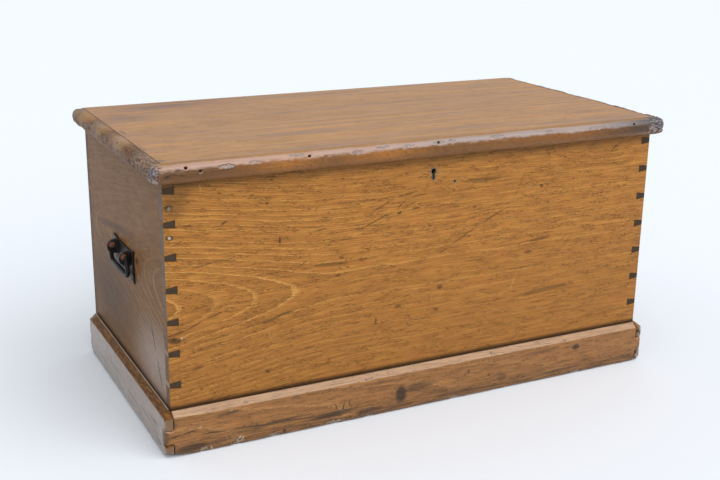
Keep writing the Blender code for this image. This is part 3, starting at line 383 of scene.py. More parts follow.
def closePine(tree, grown, depth=0.0003, gloss=0.5, shine=None):
    # shine is where the wax is buffed, as a clear coat that goes white at a slant
    polish = {} if shine is None else {"Coat_Weight": shine, "Coat_Roughness": 0.25}
    closeSurface(tree, grown["tone"], grown["rough"], grown["height"], depth, IOR=1.5,
                 Specular_IOR_Level=gloss, **polish)


# Front board: one wide flat-sawn board, a flame of rings low on the left, scratches across the middle

frontBoard = {
    "wood": {"axes": "XZY", "pith": (252, -313.4), "taper": 0.115, "ring": 7.6, "cap": -225, "middle": -340,
             "line": 0.8, "bold": ("along", -260, -60, 0.45), "inside": ("Y", 1), "end": "#5a4028",
             "endPale": "#6b4e32"},
    "scratches": [([(-125, 367), (-68, 392), (-22, 401)], 1.1, 0.75),
                  ([(-151, 339), (-67, 371), (-45, 389), (-2, 394)], 1.2, 0.8),
                  ([(19, 281), (39, 291), (104, 325), (166, 353)], 1.2, 0.8),
                  ([(166, 353), (200, 418)], 1.0, 0.4),
                  ([(-441, 314), (-374, 326)], 1.1, 0.7),
                  ([(-475, 208), (-445, 213), (-414, 227), (-380, 236)], 2.0, 0.65)],
    "dents": [(-281, 345, 2.4, 9, 0, 0.8), (-60, 365, 6, 3, 20, 0.8), (-169, 299, 6, 3, 0, 0.6),
              (-376, 385, 8, 2.6, 30, 0.7), (-303, 409, 4, 3, 0, 0.7), (-294, 447, 3, 2.5, 0, 0.8),
              (-208, 353, 16, 2, 4, 0.5), (-176, 269, 7, 3, 10, 0.6), (-102, 174, 3, 9, 0, 0.55),
              (-305, 117, 6, 4, -20, 0.6), (-59, 195, 9, 5, 10, 0.5), (-427, 146, 14, 5, 15, 0.45),
              (-187, 290, 42, 5, -3, 0.5), (-275, 215, 22, 3, 10, 0.6), (-297, 208, 24, 3, 12, 0.6),
              (-464, 199, 17, 7, -8, 0.75), (104, 406, 52, 5, -1, 0.5), (233, 382, 4, 4, 0, 0.75),
              (249, 350, 5, 3, 0, 0.6), (-28, 370, 10, 2, 0, 0.7), (211, 259, 12, 4, 0, 0.6),
              (232, 281, 30, 4, 3, 0.5), (25, 218, 8, 5, 12, 0.65), (254, 180, 75, 6, 4, 0.45),
              (19, 177, 6, 4, 0, 0.5), (396, 441, 9, 3, 30, 0.5), (-466, 420.5, 10, 4, 0, 0.85),
              (-466, 371, 9, 6, 0, 0.85)],
    # dirt in dents and scratches, also the tone of the painted shade under the lid's lip
    "dirt": "#3a2915",
    "bruise": [(48, 410, 9, 6, 0, 0.7), (5, 431, 13, 17, 0, 0.35)],
    "bruiseTone": "#7b6a50",
    "underLidDirtAndShade": [(-458, 428, 36, 44, 0, 0.5), (-452, 460, 80, 18, 0, 0.65)],    # dirt and painted shade under the lid's left end
    "underLidDirtAndShadeTone": "#4a3820",
    "hole": [(47.8, -238.75, 410, 2.6)],
    "holeTone": "#0d0905",
    "rub": [(-414, 446, 0.9, 9, 10, 0.7), (-300, 180, 1.0, 14, 20, 0.35), (180, 200, 1.0, 16, -15, 0.3)],
    "rubTone": "#cfab6d",
    "darker": (330, 90, 0.3),                 # mm, from where the board darkens downwards, and how much
    # dirt and painted shade in the corner above the plinth
    "foot": (81, 90, "#20150a"),              # mm
    "lipShade": (436, 455, 0.48),                  # mm, painted shade under the lid's lip
    "gloss": 0.15,
}


def dressFront(look):
    material, tree = startMaterial("waxed_pine_front")
    grown = growPine(tree, look["wood"])
    veil(tree, grown, ease(tree, grown["across"], *look["darker"]), waxedPine["shade"])
    markWood(tree, grown, look["bruise"], look["bruiseTone"], soft=0.2)
    # dirt and painted shade under the lid's left end
    markWood(tree, grown, look["underLidDirtAndShade"], look["underLidDirtAndShadeTone"], soft=0.1)
    marks = list(look["dents"])
    for points, width, strength in look["scratches"]:
        marks += scratch(points, width, strength)
    markWood(tree, grown, marks, look["dirt"])
    markWood(tree, grown, look["rub"], look["rubTone"])
    dotWood(tree, grown, look["hole"], look["holeTone"])
    footDirtAndShade(tree, grown, look)
    # painted shade under the lid's lip, on the forward face, in the dirt tone
    facing = ease(tree, grown["normal"].outputs["Y"], -0.3, -0.7)
    veil(tree, grown, times(tree, facing, ease(tree, grown["across"], *look["lipShade"])), look["dirt"])
    closePine(tree, grown, gloss=look["gloss"])
    wear(["front_panel"], material)


dressFront(frontBoard)
print("front: waxed, dented and scratched")


# Ends and back: the same pine in duller wax, with darker, greyer tones than the front's as painted shade

endBoards = {
    "left_end_panel": {"axes": "YZX", "pith": (283, -553), "taper": 0.16, "ring": 8.5, "flare": 80,
                       "bold": ("across", 255, 330, 0.2), "inside": ("X", 1)},
    "right_end_panel": {"axes": "YZX", "pith": (200, 560), "taper": 0.10, "ring": 8.0, "inside": ("X", -1)},
    "back_panel": {"axes": "XZY", "pith": (40, 420), "taper": 0.03, "ring": 8.0, "inside": ("Y", -1),
                   "end": "#5d4330", "endPale": "#6f5138"},
}
# darker and greyer than the front's tones: painted shade for the left end, which stands out of the key light
endTonesShaded = {"early": "#8d6640", "warm": "#7d5732", "late": "#c49558", "shade": "#62442b", "dash": "#3a281d",
            "murk": "#5d4c3d", "murky": 0.4, "line": 0.75, "dashes": 0.4, "streaks": 0.4, "rough": 0.36}
endLook = {
    "gloss": 0.03,                            # duller wax than on the front
    "stain": [(-74, 284, 16, 9, -10, 0.75), (60, 309, 180, 12, -8, 0.5), (-20, 262, 90, 30, 0, 0.25)],
    "stainTone": "#33251c",
    "crack": [(-141, 205), (-172, 150), (-200, 99)],
    "crackWidth": 2.2,                        # mm, half
    "crackTone": "#1a110b",
    "buffed": [(-190, 120, 200, 120, -8, 1.0)],    # wax buffed low at the front
    "darkerBack": [(115, 170, 250, 130, 0, 0.8)],      # the back is darker below the handle
    "darkerBackTone": "#543f2e",
    # dirt and painted shade in the corner above the plinth
    "foot": (81, 94, "#20150c"),              # mm
}


def dressEnds(boards, tones, look):
    for name, wood in boards.items():
        material, tree = startMaterial("waxed_pine_" + name)
        grown = growPine(tree, {**tones, **wood})
        shine = None
        if name == "left_end_panel":
            outside = ease(tree, grown["normal"].outputs["X"], -0.5, -0.8)
            markWood(tree, grown, look["darkerBack"], look["darkerBackTone"], soft=0.05, where=outside)
            markWood(tree, grown, look["stain"], look["stainTone"], soft=0.1, where=outside)
            crack = spotMask(tree, grown, scratch(look["crack"], look["crackWidth"], 1.0), 0.45, outside)
            veil(tree, grown, crack, look["crackTone"])
            shine = spotMask(tree, grown, look["buffed"], 0.1, outside)
            shine = addNode(tree, "Math", {0: shine, 1: crack}, operation="SUBTRACT", use_clamp=True)
        if name != "back_panel":
            footDirtAndShade(tree, grown, look)
        closePine(tree, grown, gloss=look["gloss"], shine=shine)
        wear([name], material)


dressEnds(endBoards, endTonesShaded, endLook)
print("ends and back: waxed")


# Lid boards: worn by hands and by what stood on them, streaked grey along the grain

lidBoards = {
    "lid_board_front": {"pith": (-150, 640), "taper": 0.015, "ring": 10.0},
    "lid_board_rear": {"pith": (140, 380), "taper": -0.02, "ring": 9.0, "early": "#bc8741",
                       "warm": "#ab7437"},
}
lidTones = {"axes": "XYZ", "inside": ("Z", -1), "early": "#c38c43", "warm": "#b27938", "late": "#d5a357",
            "shade": "#80552c", "dash": "#513922", "murky": 0.25, "dashes": 0.5, "line": 0.1, "streaks": 0.3,
            "streakSize": (520, 40, 60), "specks": 0.6, "rough": 0.34}
lidLook = {
    # long streaks, grey and then golden: cells in mm, where they start and end in the noise, strength, tone
    "streaks": [((1700, 80, 90), 0.42, 0.68, 0.62, "#8b6c58"), ((1400, 62, 90), 0.42, 0.7, 0.45, "#cf8d33")],
    "ruddy": [(-320, 208, 230, 75, 0, 0.5), (-420, 130, 110, 60, 0, 0.3)], "ruddyTone": "#84502f",
    "stains": [(-340, 205, 120, 26, 3, 0.6), (-250, 236, 170, 8, 0, 0.75), (-430, 120, 60, 40, 0, 0.4),
               (380, -150, 70, 18, -4, 0.3), (40, 120, 26, 9, 0, 0.4), (150, -60, 12, 8, 0, 0.35),
               (-160, 60, 90, 7, 2, 0.4), (120, 190, 110, 12, 0, 0.35), (-468, 0, 7, 28, 0, 0.75),
               (-470, -222, 9, 16, 0, 0.8), (-471, -120, 5, 40, 0, 0.5)],
    "stainTone": "#644d42",
}


def dressLid(boards, tones, look):
    for name, wood in boards.items():
        material, tree = startMaterial("waxed_pine_" + name)
        grown = growPine(tree, {**tones, **wood})
        top = grown["outer"]
        for size, start, end, most, tone in look["streaks"]:
            streak = ease(tree, clouds(tree, grown["face"], size), start, end, most)
            veil(tree, grown, times(tree, top, streak), tone)
        markWood(tree, grown, look["ruddy"], look["ruddyTone"], soft=0.05, where=top)
        markWood(tree, grown, look["stains"], look["stainTone"], soft=0.1, where=top)
        closePine(tree, grown)
        wear([name], material)


dressLid(lidBoards, lidTones, lidLook)
print("lid: boards waxed")


# Worn copies: a CAD solid meshed finely, then waved, eroded, pitted and drilled point by point. How far a
# point is pitted or in a hole is kept on the mesh, so the colours sit where the shape is.

def cloud(spots, size):
    # smooth noise from -1 to 1 at each spot, with bumps about size mm apart
    return np.array([noise.noise(Vector(spot) / size) for spot in spots])


def ramp(values, start, end):
    share = np.clip((values - start) / (end - start), 0, 1)
    return share * share * (3 - 2 * share)


def meshFinely(piece, voxel):
    weld(piece)
    fine = piece.modifiers.new("fine", "REMESH")
    fine.mode = "VOXEL"
    fine.voxel_size = voxel / 1000
    mesh = bpy.data.meshes.new_from_object(piece.evaluated_get(bpy.context.evaluated_depsgraph_get()))
    piece.modifiers.clear()
    piece.data = mesh
    return mesh


def wornCopy(name, body, look, material):
    piece = bpy.data.objects.new(name + "_worn", nodes[name].data.copy())
    scene.collection.objects.link(piece)
    mesh = meshFinely(piece, look["voxel"])

    # the joint face keeps its place, and the rest is smoothed and worn
    shape = bmesh.new()
    shape.from_mesh(mesh)
    axis, sign = look["seat"]
    low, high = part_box(name)
    seat = 1000 * (high if sign < 0 else low)[axis]
    loose = [v for v in shape.verts if sign * (v.co[axis] * 1000 - seat) > look["keep"]]
    rounds = [(loose, look["smooth"])]
    for edge, side, turns in look["ends"]:    # ends knocked round
        rounds.append(([v for v in loose if side * (v.co[look["along"]] * 1000 - edge) > 0], turns))
    everyWay = {"use_axis_x": True, "use_axis_y": True, "use_axis_z": True}
    for verts, turns in rounds:
        for turn in range(turns):
            bmesh.ops.smooth_vert(shape, verts=verts, factor=0.5, **everyWay)
    shape.normal_update()
    spots = np.array([v.co[:] for v in shape.verts]) * 1000
    outward = np.array([v.normal[:] for v in shape.verts])
    room = ramp(sign * (spots[:, axis] - seat), look["keep"], look["keep"] + 4)
    along = spots[:, look["along"]]
    sink = sum(depth * ramp(cloud(spots, size), -0.3, 0.5) for size, depth in look["waves"])
    pit, hole = np.zeros(len(spots)), np.zeros(len(spots))
    for start, end, size, depth in look["eroded"]:
        mask = ramp(along, start, end) * ramp(cloud(spots, size), -0.05, 0.25)
        pit = np.maximum(pit, mask)
        sink = sink + depth * mask
    ragged = 0.8 * cloud(spots, 4)
    outside = np.flatnonzero(sign * outward[:, axis] > 0.15)
    for a, b, length, width, depth in look["pits"]:
        nearest = outside[np.argmin((along[outside] - a) ** 2 + (spots[outside, 2] - b) ** 2)]
        away = spots - spots[nearest]
        run = away[:, look["along"]]
        girth = np.sqrt(np.maximum((away ** 2).sum(1) - run ** 2, 0))
        small = length < 4                    # a nail hole or a wormhole, not a patch of rot
        far = np.hypot(run / length, girth / width) + (0 if small else ragged)
        mask = ramp(far, 1.15, 0.6) if small else ramp(far, 1.0, 0.55)
        if small:
            hole = np.maximum(hole, mask)
        else:
            pit = np.maximum(pit, mask)
        sink = sink + depth * mask
    spots = spots - outward * (sink * room)[:, None]
    for vertex, spot in zip(shape.verts, spots / 1000):
        vertex.co = spot
    shape.to_mesh(mesh)
    shape.free()
    for label, values in (("pit", pit), ("hole", hole)):
        mesh.attributes.new(label, "FLOAT", "POINT").data.foreach_set("value", values.astype(np.float32))
    mesh.shade_smooth()
    mesh.materials.clear()
    mesh.materials.append(material)
    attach(piece, body)
    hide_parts(name)


def drillTone(tree, grown, look):
    # a pit has its own tone and a dark rim, and holes are black
    pit = addNode(tree, "Attribute", attribute_name="pit").outputs["Fac"]
    grain = clouds(tree, grown["face"], (9, 3, 3), 4)
    rim = times(tree, ease(tree, pit, 0.15, 0.45, 0.9), ease(tree, grain, 0.3, 0.55))
    veil(tree, grown, rim, look["pitEdge"])
    core = times(tree, ease(tree, pit, 0.4, 0.8), ease(tree, grain, 0.65, 0.45))
    veil(tree, grown, core, look["pitTone"])
    hole = addNode(tree, "Attribute", attribute_name="hole").outputs["Fac"]
    veil(tree, grown, ease(tree, hole, 0.1, 0.6), "#0c0806")


# Plinth: knocked and mopped, so its foot is chipped, dirty and split and its top edge is rubbed pale; the
# bevel's tone is partly a painted reflection, and a painted shadow and highlight sit along the ledge by the
# wall

plinthBoards = {
    "plinth_front": {"axes": "XZY", "pith": (20, -420), "end": "#6a4c34", "endPale": "#805f42"},
    # the left board's greyer, paler tones are partly a painted reflection of the pale floor in its wax
    "plinth_left": {"axes": "YZX", "pith": (20, -660), "early": "#98806a", "warm": "#8a705a",
                    "late": "#a79079", "shade": "#6b5440", "dash": "#2a201b", "dashes": 0.5, "murky": 0.3,
                    "streaks": 0.4, "line": 0.3, "end": "#6d4d2f", "endPale": "#8a623b"},
    "plinth_right": {"axes": "YZX", "pith": (20, 660), "end": "#5d4a3c", "endPale": "#755c48"},
}
plinthTones = {"taper": 0.03, "ring": 6.5, "early": "#a8723c", "warm": "#98642f", "late": "#c08d52",
               "shade": "#6d4825", "dash": "#35240f", "dashes": 0.75, "dashSize": (24, 2.4, 10),
               "rough": 0.33}
plinthDirt = {"grime": "#3a2817", "knot": "#291b0f", "chip": "#bfae94", "hole": "#0e0a07",
              "pitTone": "#a8927a", "pitEdge": "#33241a",
              "grimeUpTo": (36, 4)}           # mm, where the mop's grime ends and where it is full
# the ledge tone is a painted shadow in the gap by the wall on the front and right, and a painted highlight on
# the left
plinthLook = {
    "plinth_front": {
        "gloss": 0.4, "bevel": ("#c4a284", 0.85, 0.5), "paintedLedgeLight": "#24170b", "ledgeAt": (-242.6, -240.6),
        "ledgeFrom": -474, "grime": 0.8, "polish": 0, "amber": None,
        "knots": [(-56, 32, 15, 22, 0, 0.85), (327, 56, 11, 8, 0, 0.8), (159, 24, 13, 12, 0, 0.45),
                  (-489, 42, 8, 30, 0, 0.5), (-480, 60, 14, 12, 0, 0.45),
                  (-20, 40, 40, 12, 5, 0.45), (-445, 14, 34, 9, 0, 0.6), (-300, 27, 70, 4, 3, 0.65),
                  (-190, 20, 60, 6, 3, 0.7), (-120, 14, 34, 6, 0, 0.7), (-378, 62, 26, 4, 4, 0.55),
                  (-100, 62, 50, 4, 0, 0.4), (240, 60, 60, 4, 2, 0.4), (60, 12, 60, 5, 2, 0.5),
                  (-184, 33, 1.3, 8, 15, 0.8), (-170, 30, 1.3, 9, -12, 0.8), (-158, 34, 1.2, 8, 8, 0.75)],
        "cracks": [([(-488, 36), (-462, 40), (-432, 44)], 1.4, 0.85),
                   ([(-432, 34), (-380, 31), (-300, 27), (-215, 22)], 1.3, 0.8)],
        "chips": [(-368, 4, 10, 3, 35, 0.7), (-357, 10, 2, 8, -20, 0.7), (-362, 14, 5, 2, 40, 0.6),
                  (-424, 7, 7, 3, 25, 0.55), (-412, 5, 2, 6, 10, 0.5), (-430, 46, 4, 2, 30, 0.5),
                  (-376, 66, 3, 1.6, 0, 0.6)],
        "holes": [(-487.5, -253.5, 69, 2.6), (-487.5, -253.5, 54, 2.2)],
    },
    "plinth_left": {
        "gloss": 0.1, "bevel": ("#5e3a18", 1.0, 0.92), "paintedLedgeLight": "#b9a690", "ledgeAt": (-478.8, -477.2),
        "ledgeFrom": -232, "grime": 0.4, "polish": 1.0, "amber": "#94642c",
        "knots": [(-150, 34, 60, 2.4, 4, 0.85), (-190, 43, 34, 2.2, 2, 0.85), (-214, 16, 16, 6, 0, 0.7),
                  (-60, 30, 50, 2, 3, 0.7), (60, 40, 60, 2, 0, 0.6), (150, 24, 40, 3, 0, 0.6)],
        "cracks": [], "chips": [(-226, 40, 5, 3, 0, 0.4)],
        "holes": [(-487.5, -250, 69, 2.6), (-487.5, -250, 54, 2.2)],
    },
    "plinth_right": {
        "gloss": 0.4, "bevel": ("#8f6d50", 0.6, 0.5), "paintedLedgeLight": "#24170b", "ledgeAt": (478.8, 477.2),
        "ledgeFrom": -232, "grime": 0.8, "polish": 0, "amber": None,
        "knots": [(60, 26, 40, 6, 3, 0.6), (-120, 48, 50, 3, 0, 0.5)], "cracks": [],
        "chips": [(-220, 10, 8, 4, 0, 0.5)], "holes": [(477.6, -252, 63.4, 3.0), (475.5, -252, 18.5, 3.0)],
    },
}
plinthWear = {
    "plinth_front": {
        "voxel": 1.8, "smooth": 2, "along": 0, "seat": (1, -1), "keep": 4, "ends": [(-484, -1, 5)],
        "waves": [(70, 0.5), (14, 0.3)], "eroded": [(470, 486, 8, 0.7)],
        "pits": [(-366, 4, 13, 7, 2.2), (-424, 5, 10, 6, 1.8), (-300, 2, 20, 5, 1.5), (-190, 3, 26, 6, 1.6),
                 (-120, 2, 15, 5, 1.4), (60, 2, 22, 5, 1.2), (330, 2, 17, 5, 1.2), (-350, 74, 5, 3, 0.7),
                 (-120, 73, 8, 3, 0.7), (140, 74, 6, 3, 0.7), (300, 73, 5, 3, 0.7)],
    },
    "plinth_left": {
        "voxel": 1.8, "smooth": 2, "along": 1, "seat": (0, -1), "keep": 4, "ends": [(-248, -1, 5)],
        "waves": [(60, 0.6), (14, 0.3)], "eroded": [(215, 245, 10, 0.6)],
        "pits": [(-160, 2, 14, 5, 1.2), (-30, 2, 18, 5, 1.0), (120, 3, 14, 5, 1.2), (235, 66, 8, 6, 1.0)],
    },
    "plinth_right": {
        "voxel": 1.8, "smooth": 2, "along": 1, "seat": (0, 1), "keep": 4, "ends": [],
        "waves": [(60, 0.6), (14, 0.3)], "eroded": [(-205, -240, 9, 0.6), (215, 245, 10, 0.6)],
        "pits": [(-222, 10, 8, 7, 1.4), (-80, 2, 18, 5, 1.2), (90, 3, 14, 5, 1.0), (60, 73, 6, 3, 0.7)],
    },
}


def dressPlinth(boards, tones, dirt):
    for name, wood in boards.items():
        look = plinthLook[name]
        material, tree = startMaterial("waxed_pine_" + name)
        grown = growPine(tree, {**tones, **wood})
        low = ease(tree, grown["across"], *dirt["grimeUpTo"], look["grime"])
        veil(tree, grown, times(tree, low, slope(tree, grown["streak"], 0.40, 0.55)), dirt["grime"])
        marks = list(look["knots"])
        for points, width, strength in look["cracks"]:
            marks += scratch(points, width, strength)
        markWood(tree, grown, marks, dirt["knot"], sink=1.0)
        markWood(tree, grown, look["chips"], dirt["chip"])
        dotWood(tree, grown, look["holes"], dirt["hole"])
        # the up-facing bevel: rubbed pale on the front, and its tone partly a painted reflection, pale from
        # the sky on the front and dark brown on the left
        rise = grown["normal"].outputs["Z"]
        tone, most, least = look["bevel"]
        patchy = slope(tree, grown["streak"], 0.35, 0.65, 1, least)
        bevel = ease(tree, rise, 0.2, 0.7, most)
        veil(tree, grown, times(tree, bevel, patchy), tone)
        if look["amber"]:                     # amber patches left in the wax on the bevel
            patch = clouds(tree, grown["face"], (70, 9, 30), 3)
            veil(tree, grown, times(tree, bevel, ease(tree, patch, 0.45, 0.65, 0.8)), look["amber"])
        drillTone(tree, grown, dirt)
        # along the ledge by the wall: a painted shadow in the gap on the front and right, a painted highlight
        # on the left board's narrow flat
        start, end = look["ledgeAt"]
        paintedLedgeLight = times(tree, ease(tree, grown["depth"], start, end, 0.9), ease(tree, rise, 0.2, 0.5))
        corner = look["ledgeFrom"]
        veil(tree, grown, times(tree, paintedLedgeLight, ease(tree, grown["along"], corner - 4, corner)), look["paintedLedgeLight"])
        # wax is buffed on the upright face
        shine = ease(tree, rise, 0.3, 0.1, look["polish"]) if look["polish"] else None
        closePine(tree, grown, 0.0005, gloss=look["gloss"], shine=shine)
        wornCopy(name, "case", plinthWear[name], material)


dressPlinth(plinthBoards, plinthTones, plinthDirt)
print("plinth: waxed, knotted, chipped and grimed")


# Lid mouldings: bullnosed strips rubbed bare along their top, with grey pits, nail holes and wormholes; the
# nose's pale band and its underside also hold painted reflections

mouldings = {
    "lid_moulding_front": {"axes": "XZY", "pith": (420, -330), "end": "#3b373a", "endPale": "#a9a2a8"},
    "lid_moulding_left": {"axes": "YZX", "pith": (430, -560)},
    "lid_moulding_right": {"axes": "YZX", "pith": (430, 560)},
}
mouldingTones = {"taper": 0.02, "ring": 5.5, "early": "#b5732a", "warm": "#a06324", "late": "#c58c45",
                 "shade": "#744a1e", "dash": "#2f200e", "end": "#3a3431", "endPale": "#6b625d",
                 "streaks": 0.5, "dashes": 0.35, "murky": 0.3, "rough": 0.36, "speckSize": 60}
wormRng = np.random.default_rng(7)
wormholes = [(wormRng.uniform(-234, -140), wormRng.uniform(464, 489), 1.5, 1.4, 2.5) for i in range(24)]
leftNails = ((-179, 484), (-211, 482), (-232, 477), (-110, 486), (-50, 487), (69, 488), (119, 487))   # y, z
mouldingWear = {
    "lid_moulding_front": {
        "voxel": 1.5, "smooth": 2, "along": 0, "seat": (1, -1), "keep": 1.5,
        "ends": [(478, 1, 30), (-486, -1, 16)], "waves": [(34, 0.9), (8, 0.3)],
        "eroded": [(440, 468, 8, 2.0), (-480, -490, 6, 1.4)],
        "pits": [(-375, 482, 12, 4, 0.9), (-330, 484, 8, 3, 0.6), (-257, 488, 14, 3, 0.7),
                 (-152, 483, 10, 3.5, 0.8), (-102, 487, 14, 3, 0.7), (-57, 486, 9, 4, 0.9),
                 (5, 486, 13, 3.5, 0.9), (30, 487, 8, 3, 0.8), (120, 487, 16, 3, 0.6),
                 (228, 487, 9, 3.5, 0.9), (330, 486, 20, 3, 0.6),
                 (-441.6, 484.6, 2.6, 2.4, 4), (-419.6, 477.8, 2.4, 2.2, 4),
                 (-236, 484.4, 2.6, 2.4, 4), (1.6, 486.7, 2.4, 2.2, 4), (420, 485, 2.2, 2.2, 3)],
    },
    "lid_moulding_left": {
        "voxel": 1.5, "smooth": 2, "along": 1, "seat": (0, -1), "keep": 1.5,
        "ends": [(240, 1, 16)], "waves": [(34, 1.6), (9, 0.5)],
        "eroded": [(-120, -150, 7, 1.1), (190, 245, 12, 0.8)],
        "pits": [(y, z, 2.0, 1.9, 3.5) for y, z in leftNails] + wormholes
                + [(20, 480, 22, 8, 0.9), (150, 478, 26, 7, 0.9), (-80, 474, 18, 6, 0.8)],
    },
    "lid_moulding_right": {
        "voxel": 1.5, "smooth": 2, "along": 1, "seat": (0, 1), "keep": 1.5,
        "ends": [(240, 1, 16)], "waves": [(34, 1.2), (9, 0.4)],
        "eroded": [(-170, -225, 8, 1.2), (200, 245, 12, 0.7)],
        "pits": [(-150, 484, 2.2, 2.0, 3.5), (40, 485, 2.2, 2.0, 3.5), (190, 484, 2.2, 2.0, 3.5),
                 (-60, 478, 20, 6, 0.8), (120, 481, 16, 5, 0.8)],
    },
}
noseLook = {
    "tones": {"bare": "#bb9783", "silver": "#aa9891", "dull": "#857b79", "ash": "#615957", "smoke": "#543512",
              "brown": "#6b4416", "tan": "#794b18", "amber": "#9d611d", "char": "#302621"},
    # the rubbed band's tones hold wear and a painted reflection of the sky
    # x in mm and tone
    "rubbed": ((-480, "bare"), (-250, "bare"), (60, "silver"), (330, "silver"), (400, "dull"), (445, "ash")),
    "body": ((-480, "smoke"), (-400, "smoke"), (-330, "tan"), (-280, "amber"), (-200, "brown"),
             (-100, "amber"), (0, "brown"), (150, "tan"), (300, "tan"), (380, "smoke"), (430, "char"),
             (480, "char")),
    # under is the painted shade and painted reflection of the pale floor on the round's underside
    "under": "#7d5634", "smudge": "#553818", "pitTone": "#a8988f", "pitEdge": "#5d4b40", "grey": "#978b8b",
    "craters": [(-472, 474, 7, 3, 30, 0.85), (-464, 478, 10, 1.6, -20, 0.8), (-455, 482, 9, 1.4, 10, 0.75),
                (-450, 474, 12, 1.3, -8, 0.6), (-375, 477, 16, 1.3, 4, 0.6)], "craterTone": "#1f150d",
    "flat": "#b8843f",                        # the flat top, as golden as the lid
    "stubs": ("#1d1918", "#8b8385"),          # the two ends, grey and cracked along the grain
    "stubsFrom": (508, 526),                  # mm from the middle, with the rags' reach
    "rags": 60,                               # mm
    "longer": 30,                             # mm, the right end is eaten further in
    "drift": 120,                             # mm, how far the tones run into each other
}


def bands(tree, value, stops, tones):
    # a colour that changes with value through stops of (value, name of a tone)
    low, high = stops[0][0], stops[-1][0]
    fade = addNode(tree, "ValToRGB", {"Fac": slope(tree, value, low, high)})
    marks = fade.color_ramp.elements
    marks[0].color, marks[-1].color = linear(tones[stops[0][1]]), linear(tones[stops[-1][1]])
    for place, tone in stops[1:-1]:
        marks.new((place - low) / (high - low)).color = linear(tones[tone])
    return fade


def dressNose(name, tones, look):
    material, tree = startMaterial("rubbed_pine_" + name)
    grown = growPine(tree, {**tones, **mouldings[name]})
    rise = grown["normal"].outputs["Z"]
    blotch = clouds(tree, grown["face"], (46, 26, 26), 3)
    drift = calc(tree, "MULTIPLY_ADD", blotch, look["drift"], grown["along"])
    drift = calc(tree, "SUBTRACT", drift, look["drift"] / 2)
    grown["tone"] = blend(tree, 0.85, grown["tone"], bands(tree, drift, look["body"], look["tones"]))
    veil(tree, grown, ease(tree, blotch, 0.52, 0.66, 0.4), look["smudge"])
    # the underside of the round in a greyer brown: painted shade with a painted reflection of the pale floor
    veil(tree, grown, ease(tree, rise, -0.1, -0.6, 0.6), look["under"])

    # the rubbed band on the upper round, partly worn pale and partly a painted reflection of the sky, ragged
    # along its lower edge and off the flat top
    rags = clouds(tree, grown["face"], (40, 14, 14), 3)
    edge = calc(tree, "MULTIPLY_ADD", rags, 0.45, rise)
    band = times(tree, ease(tree, edge, 0.40, 0.76), ease(tree, rise, 0.998, 0.93))
    bare = bands(tree, grown["along"], look["rubbed"], look["tones"])
    grown["tone"] = blend(tree, times(tree, band, 0.88), grown["tone"], bare)
    flecks = clouds(tree, grown["face"], (15, 5, 5), 4)
    veil(tree, grown, times(tree, band, ease(tree, flecks, 0.56, 0.68, 0.6)), look["grey"])
    veil(tree, grown, times(tree, ease(tree, rise, 0.9, 0.995), 0.55), look["flat"])
    markWood(tree, grown, look["craters"], look["craterTone"], soft=0.3)
    drillTone(tree, grown, look)

    # the stubs at both ends: split end grain
    splits = ease(tree, clouds(tree, grown["face"], (44, 8, 11), 1), 0.4, 0.62)
    stub = blend(tree, splits, *map(linear, look["stubs"]))
    right = calc(tree, "ADD", grown["along"], look["longer"])
    ends = calc(tree, "MAXIMUM", right, times(tree, grown["along"], -1))
    ends = calc(tree, "MULTIPLY_ADD", rags, look["rags"], ends)
    ends = times(tree, ease(tree, ends, *look["stubsFrom"]), ease(tree, edge, -0.1, 0.35))
    grown["tone"] = blend(tree, ends, grown["tone"], stub)
    return material, tree, grown


stripLook = {
    "tones": {"bare": "#a98c7a", "dirt": "#68503c", "brown": "#86694d", "honey": "#a2825c", "grey": "#82756a",
              "amber": "#a67547"},
    # y in mm and tone, front to back
    "chunks": ((-245, "bare"), (-160, "bare"), (-135, "dirt"), (-100, "dirt"), (-78, "honey"), (-40, "bare"),
               (-12, "brown"), (8, "dirt"), (35, "brown"), (60, "honey"), (98, "grey"), (122, "dirt"),
               (135, "brown"), (153, "amber"), (185, "honey"), (250, "grey")),
    "side": "#6d4c31", "pitTone": "#8c7a6c", "pitEdge": "#33271f", "fleckTone": "#b9a08c",
    "wormed": -130,                           # mm, worms ate the wood in front of this
    "drift": 110,                             # mm
}


def dressStrip(name, tones, look):
    material, tree = startMaterial("rubbed_pine_" + name)
    grown = growPine(tree, {**tones, **mouldings[name]})
    warp = clouds(tree, grown["face"], (22, 9, 9), 4)
    warp = calc(tree, "MULTIPLY_ADD", warp, look["drift"], -look["drift"] / 2)
    warped = calc(tree, "ADD", grown["along"], warp)
    grown["tone"] = blend(tree, 0.8, grown["tone"], bands(tree, warped, look["chunks"], look["tones"]))
    fleck = clouds(tree, grown["face"], (11, 4, 4), 3)
    veil(tree, grown, ease(tree, fleck, 0.57, 0.7, 0.6), look["fleckTone"])
    veil(tree, grown, ease(tree, fleck, 0.43, 0.3, 0.7), look["pitEdge"])

    # worm channels wind along the eaten front end
    channel = calc(tree, "SUBTRACT", clouds(tree, grown["face"], (15, 8, 8)), 0.5)
    channel = ease(tree, calc(tree, "ABSOLUTE", channel), 0.045, 0.02)
    eaten = ease(tree, grown["along"], look["wormed"] + 25, look["wormed"] - 15, 0.85)
    veil(tree, grown, times(tree, channel, eaten), look["pitEdge"])
    veil(tree, grown, ease(tree, grown["normal"].outputs["Z"], 0.4, -0.2, 0.85), look["side"])
    drillTone(tree, grown, look)
    return material, tree, grown


def dressMouldings():
    for name in mouldings:
        front = name == "lid_moulding_front"
        look = noseLook if front else stripLook
        material, tree, grown = (dressNose if front else dressStrip)(name, mouldingTones, look)
        closePine(tree, grown, 0.0005, gloss=0.4 if front else 0.04)
        wornCopy(name, "lid", mouldingWear[name], material)


dressMouldings()
print("mouldings: worn, pitted and drilled")


# Bottom boards: sawn pine that never saw wax

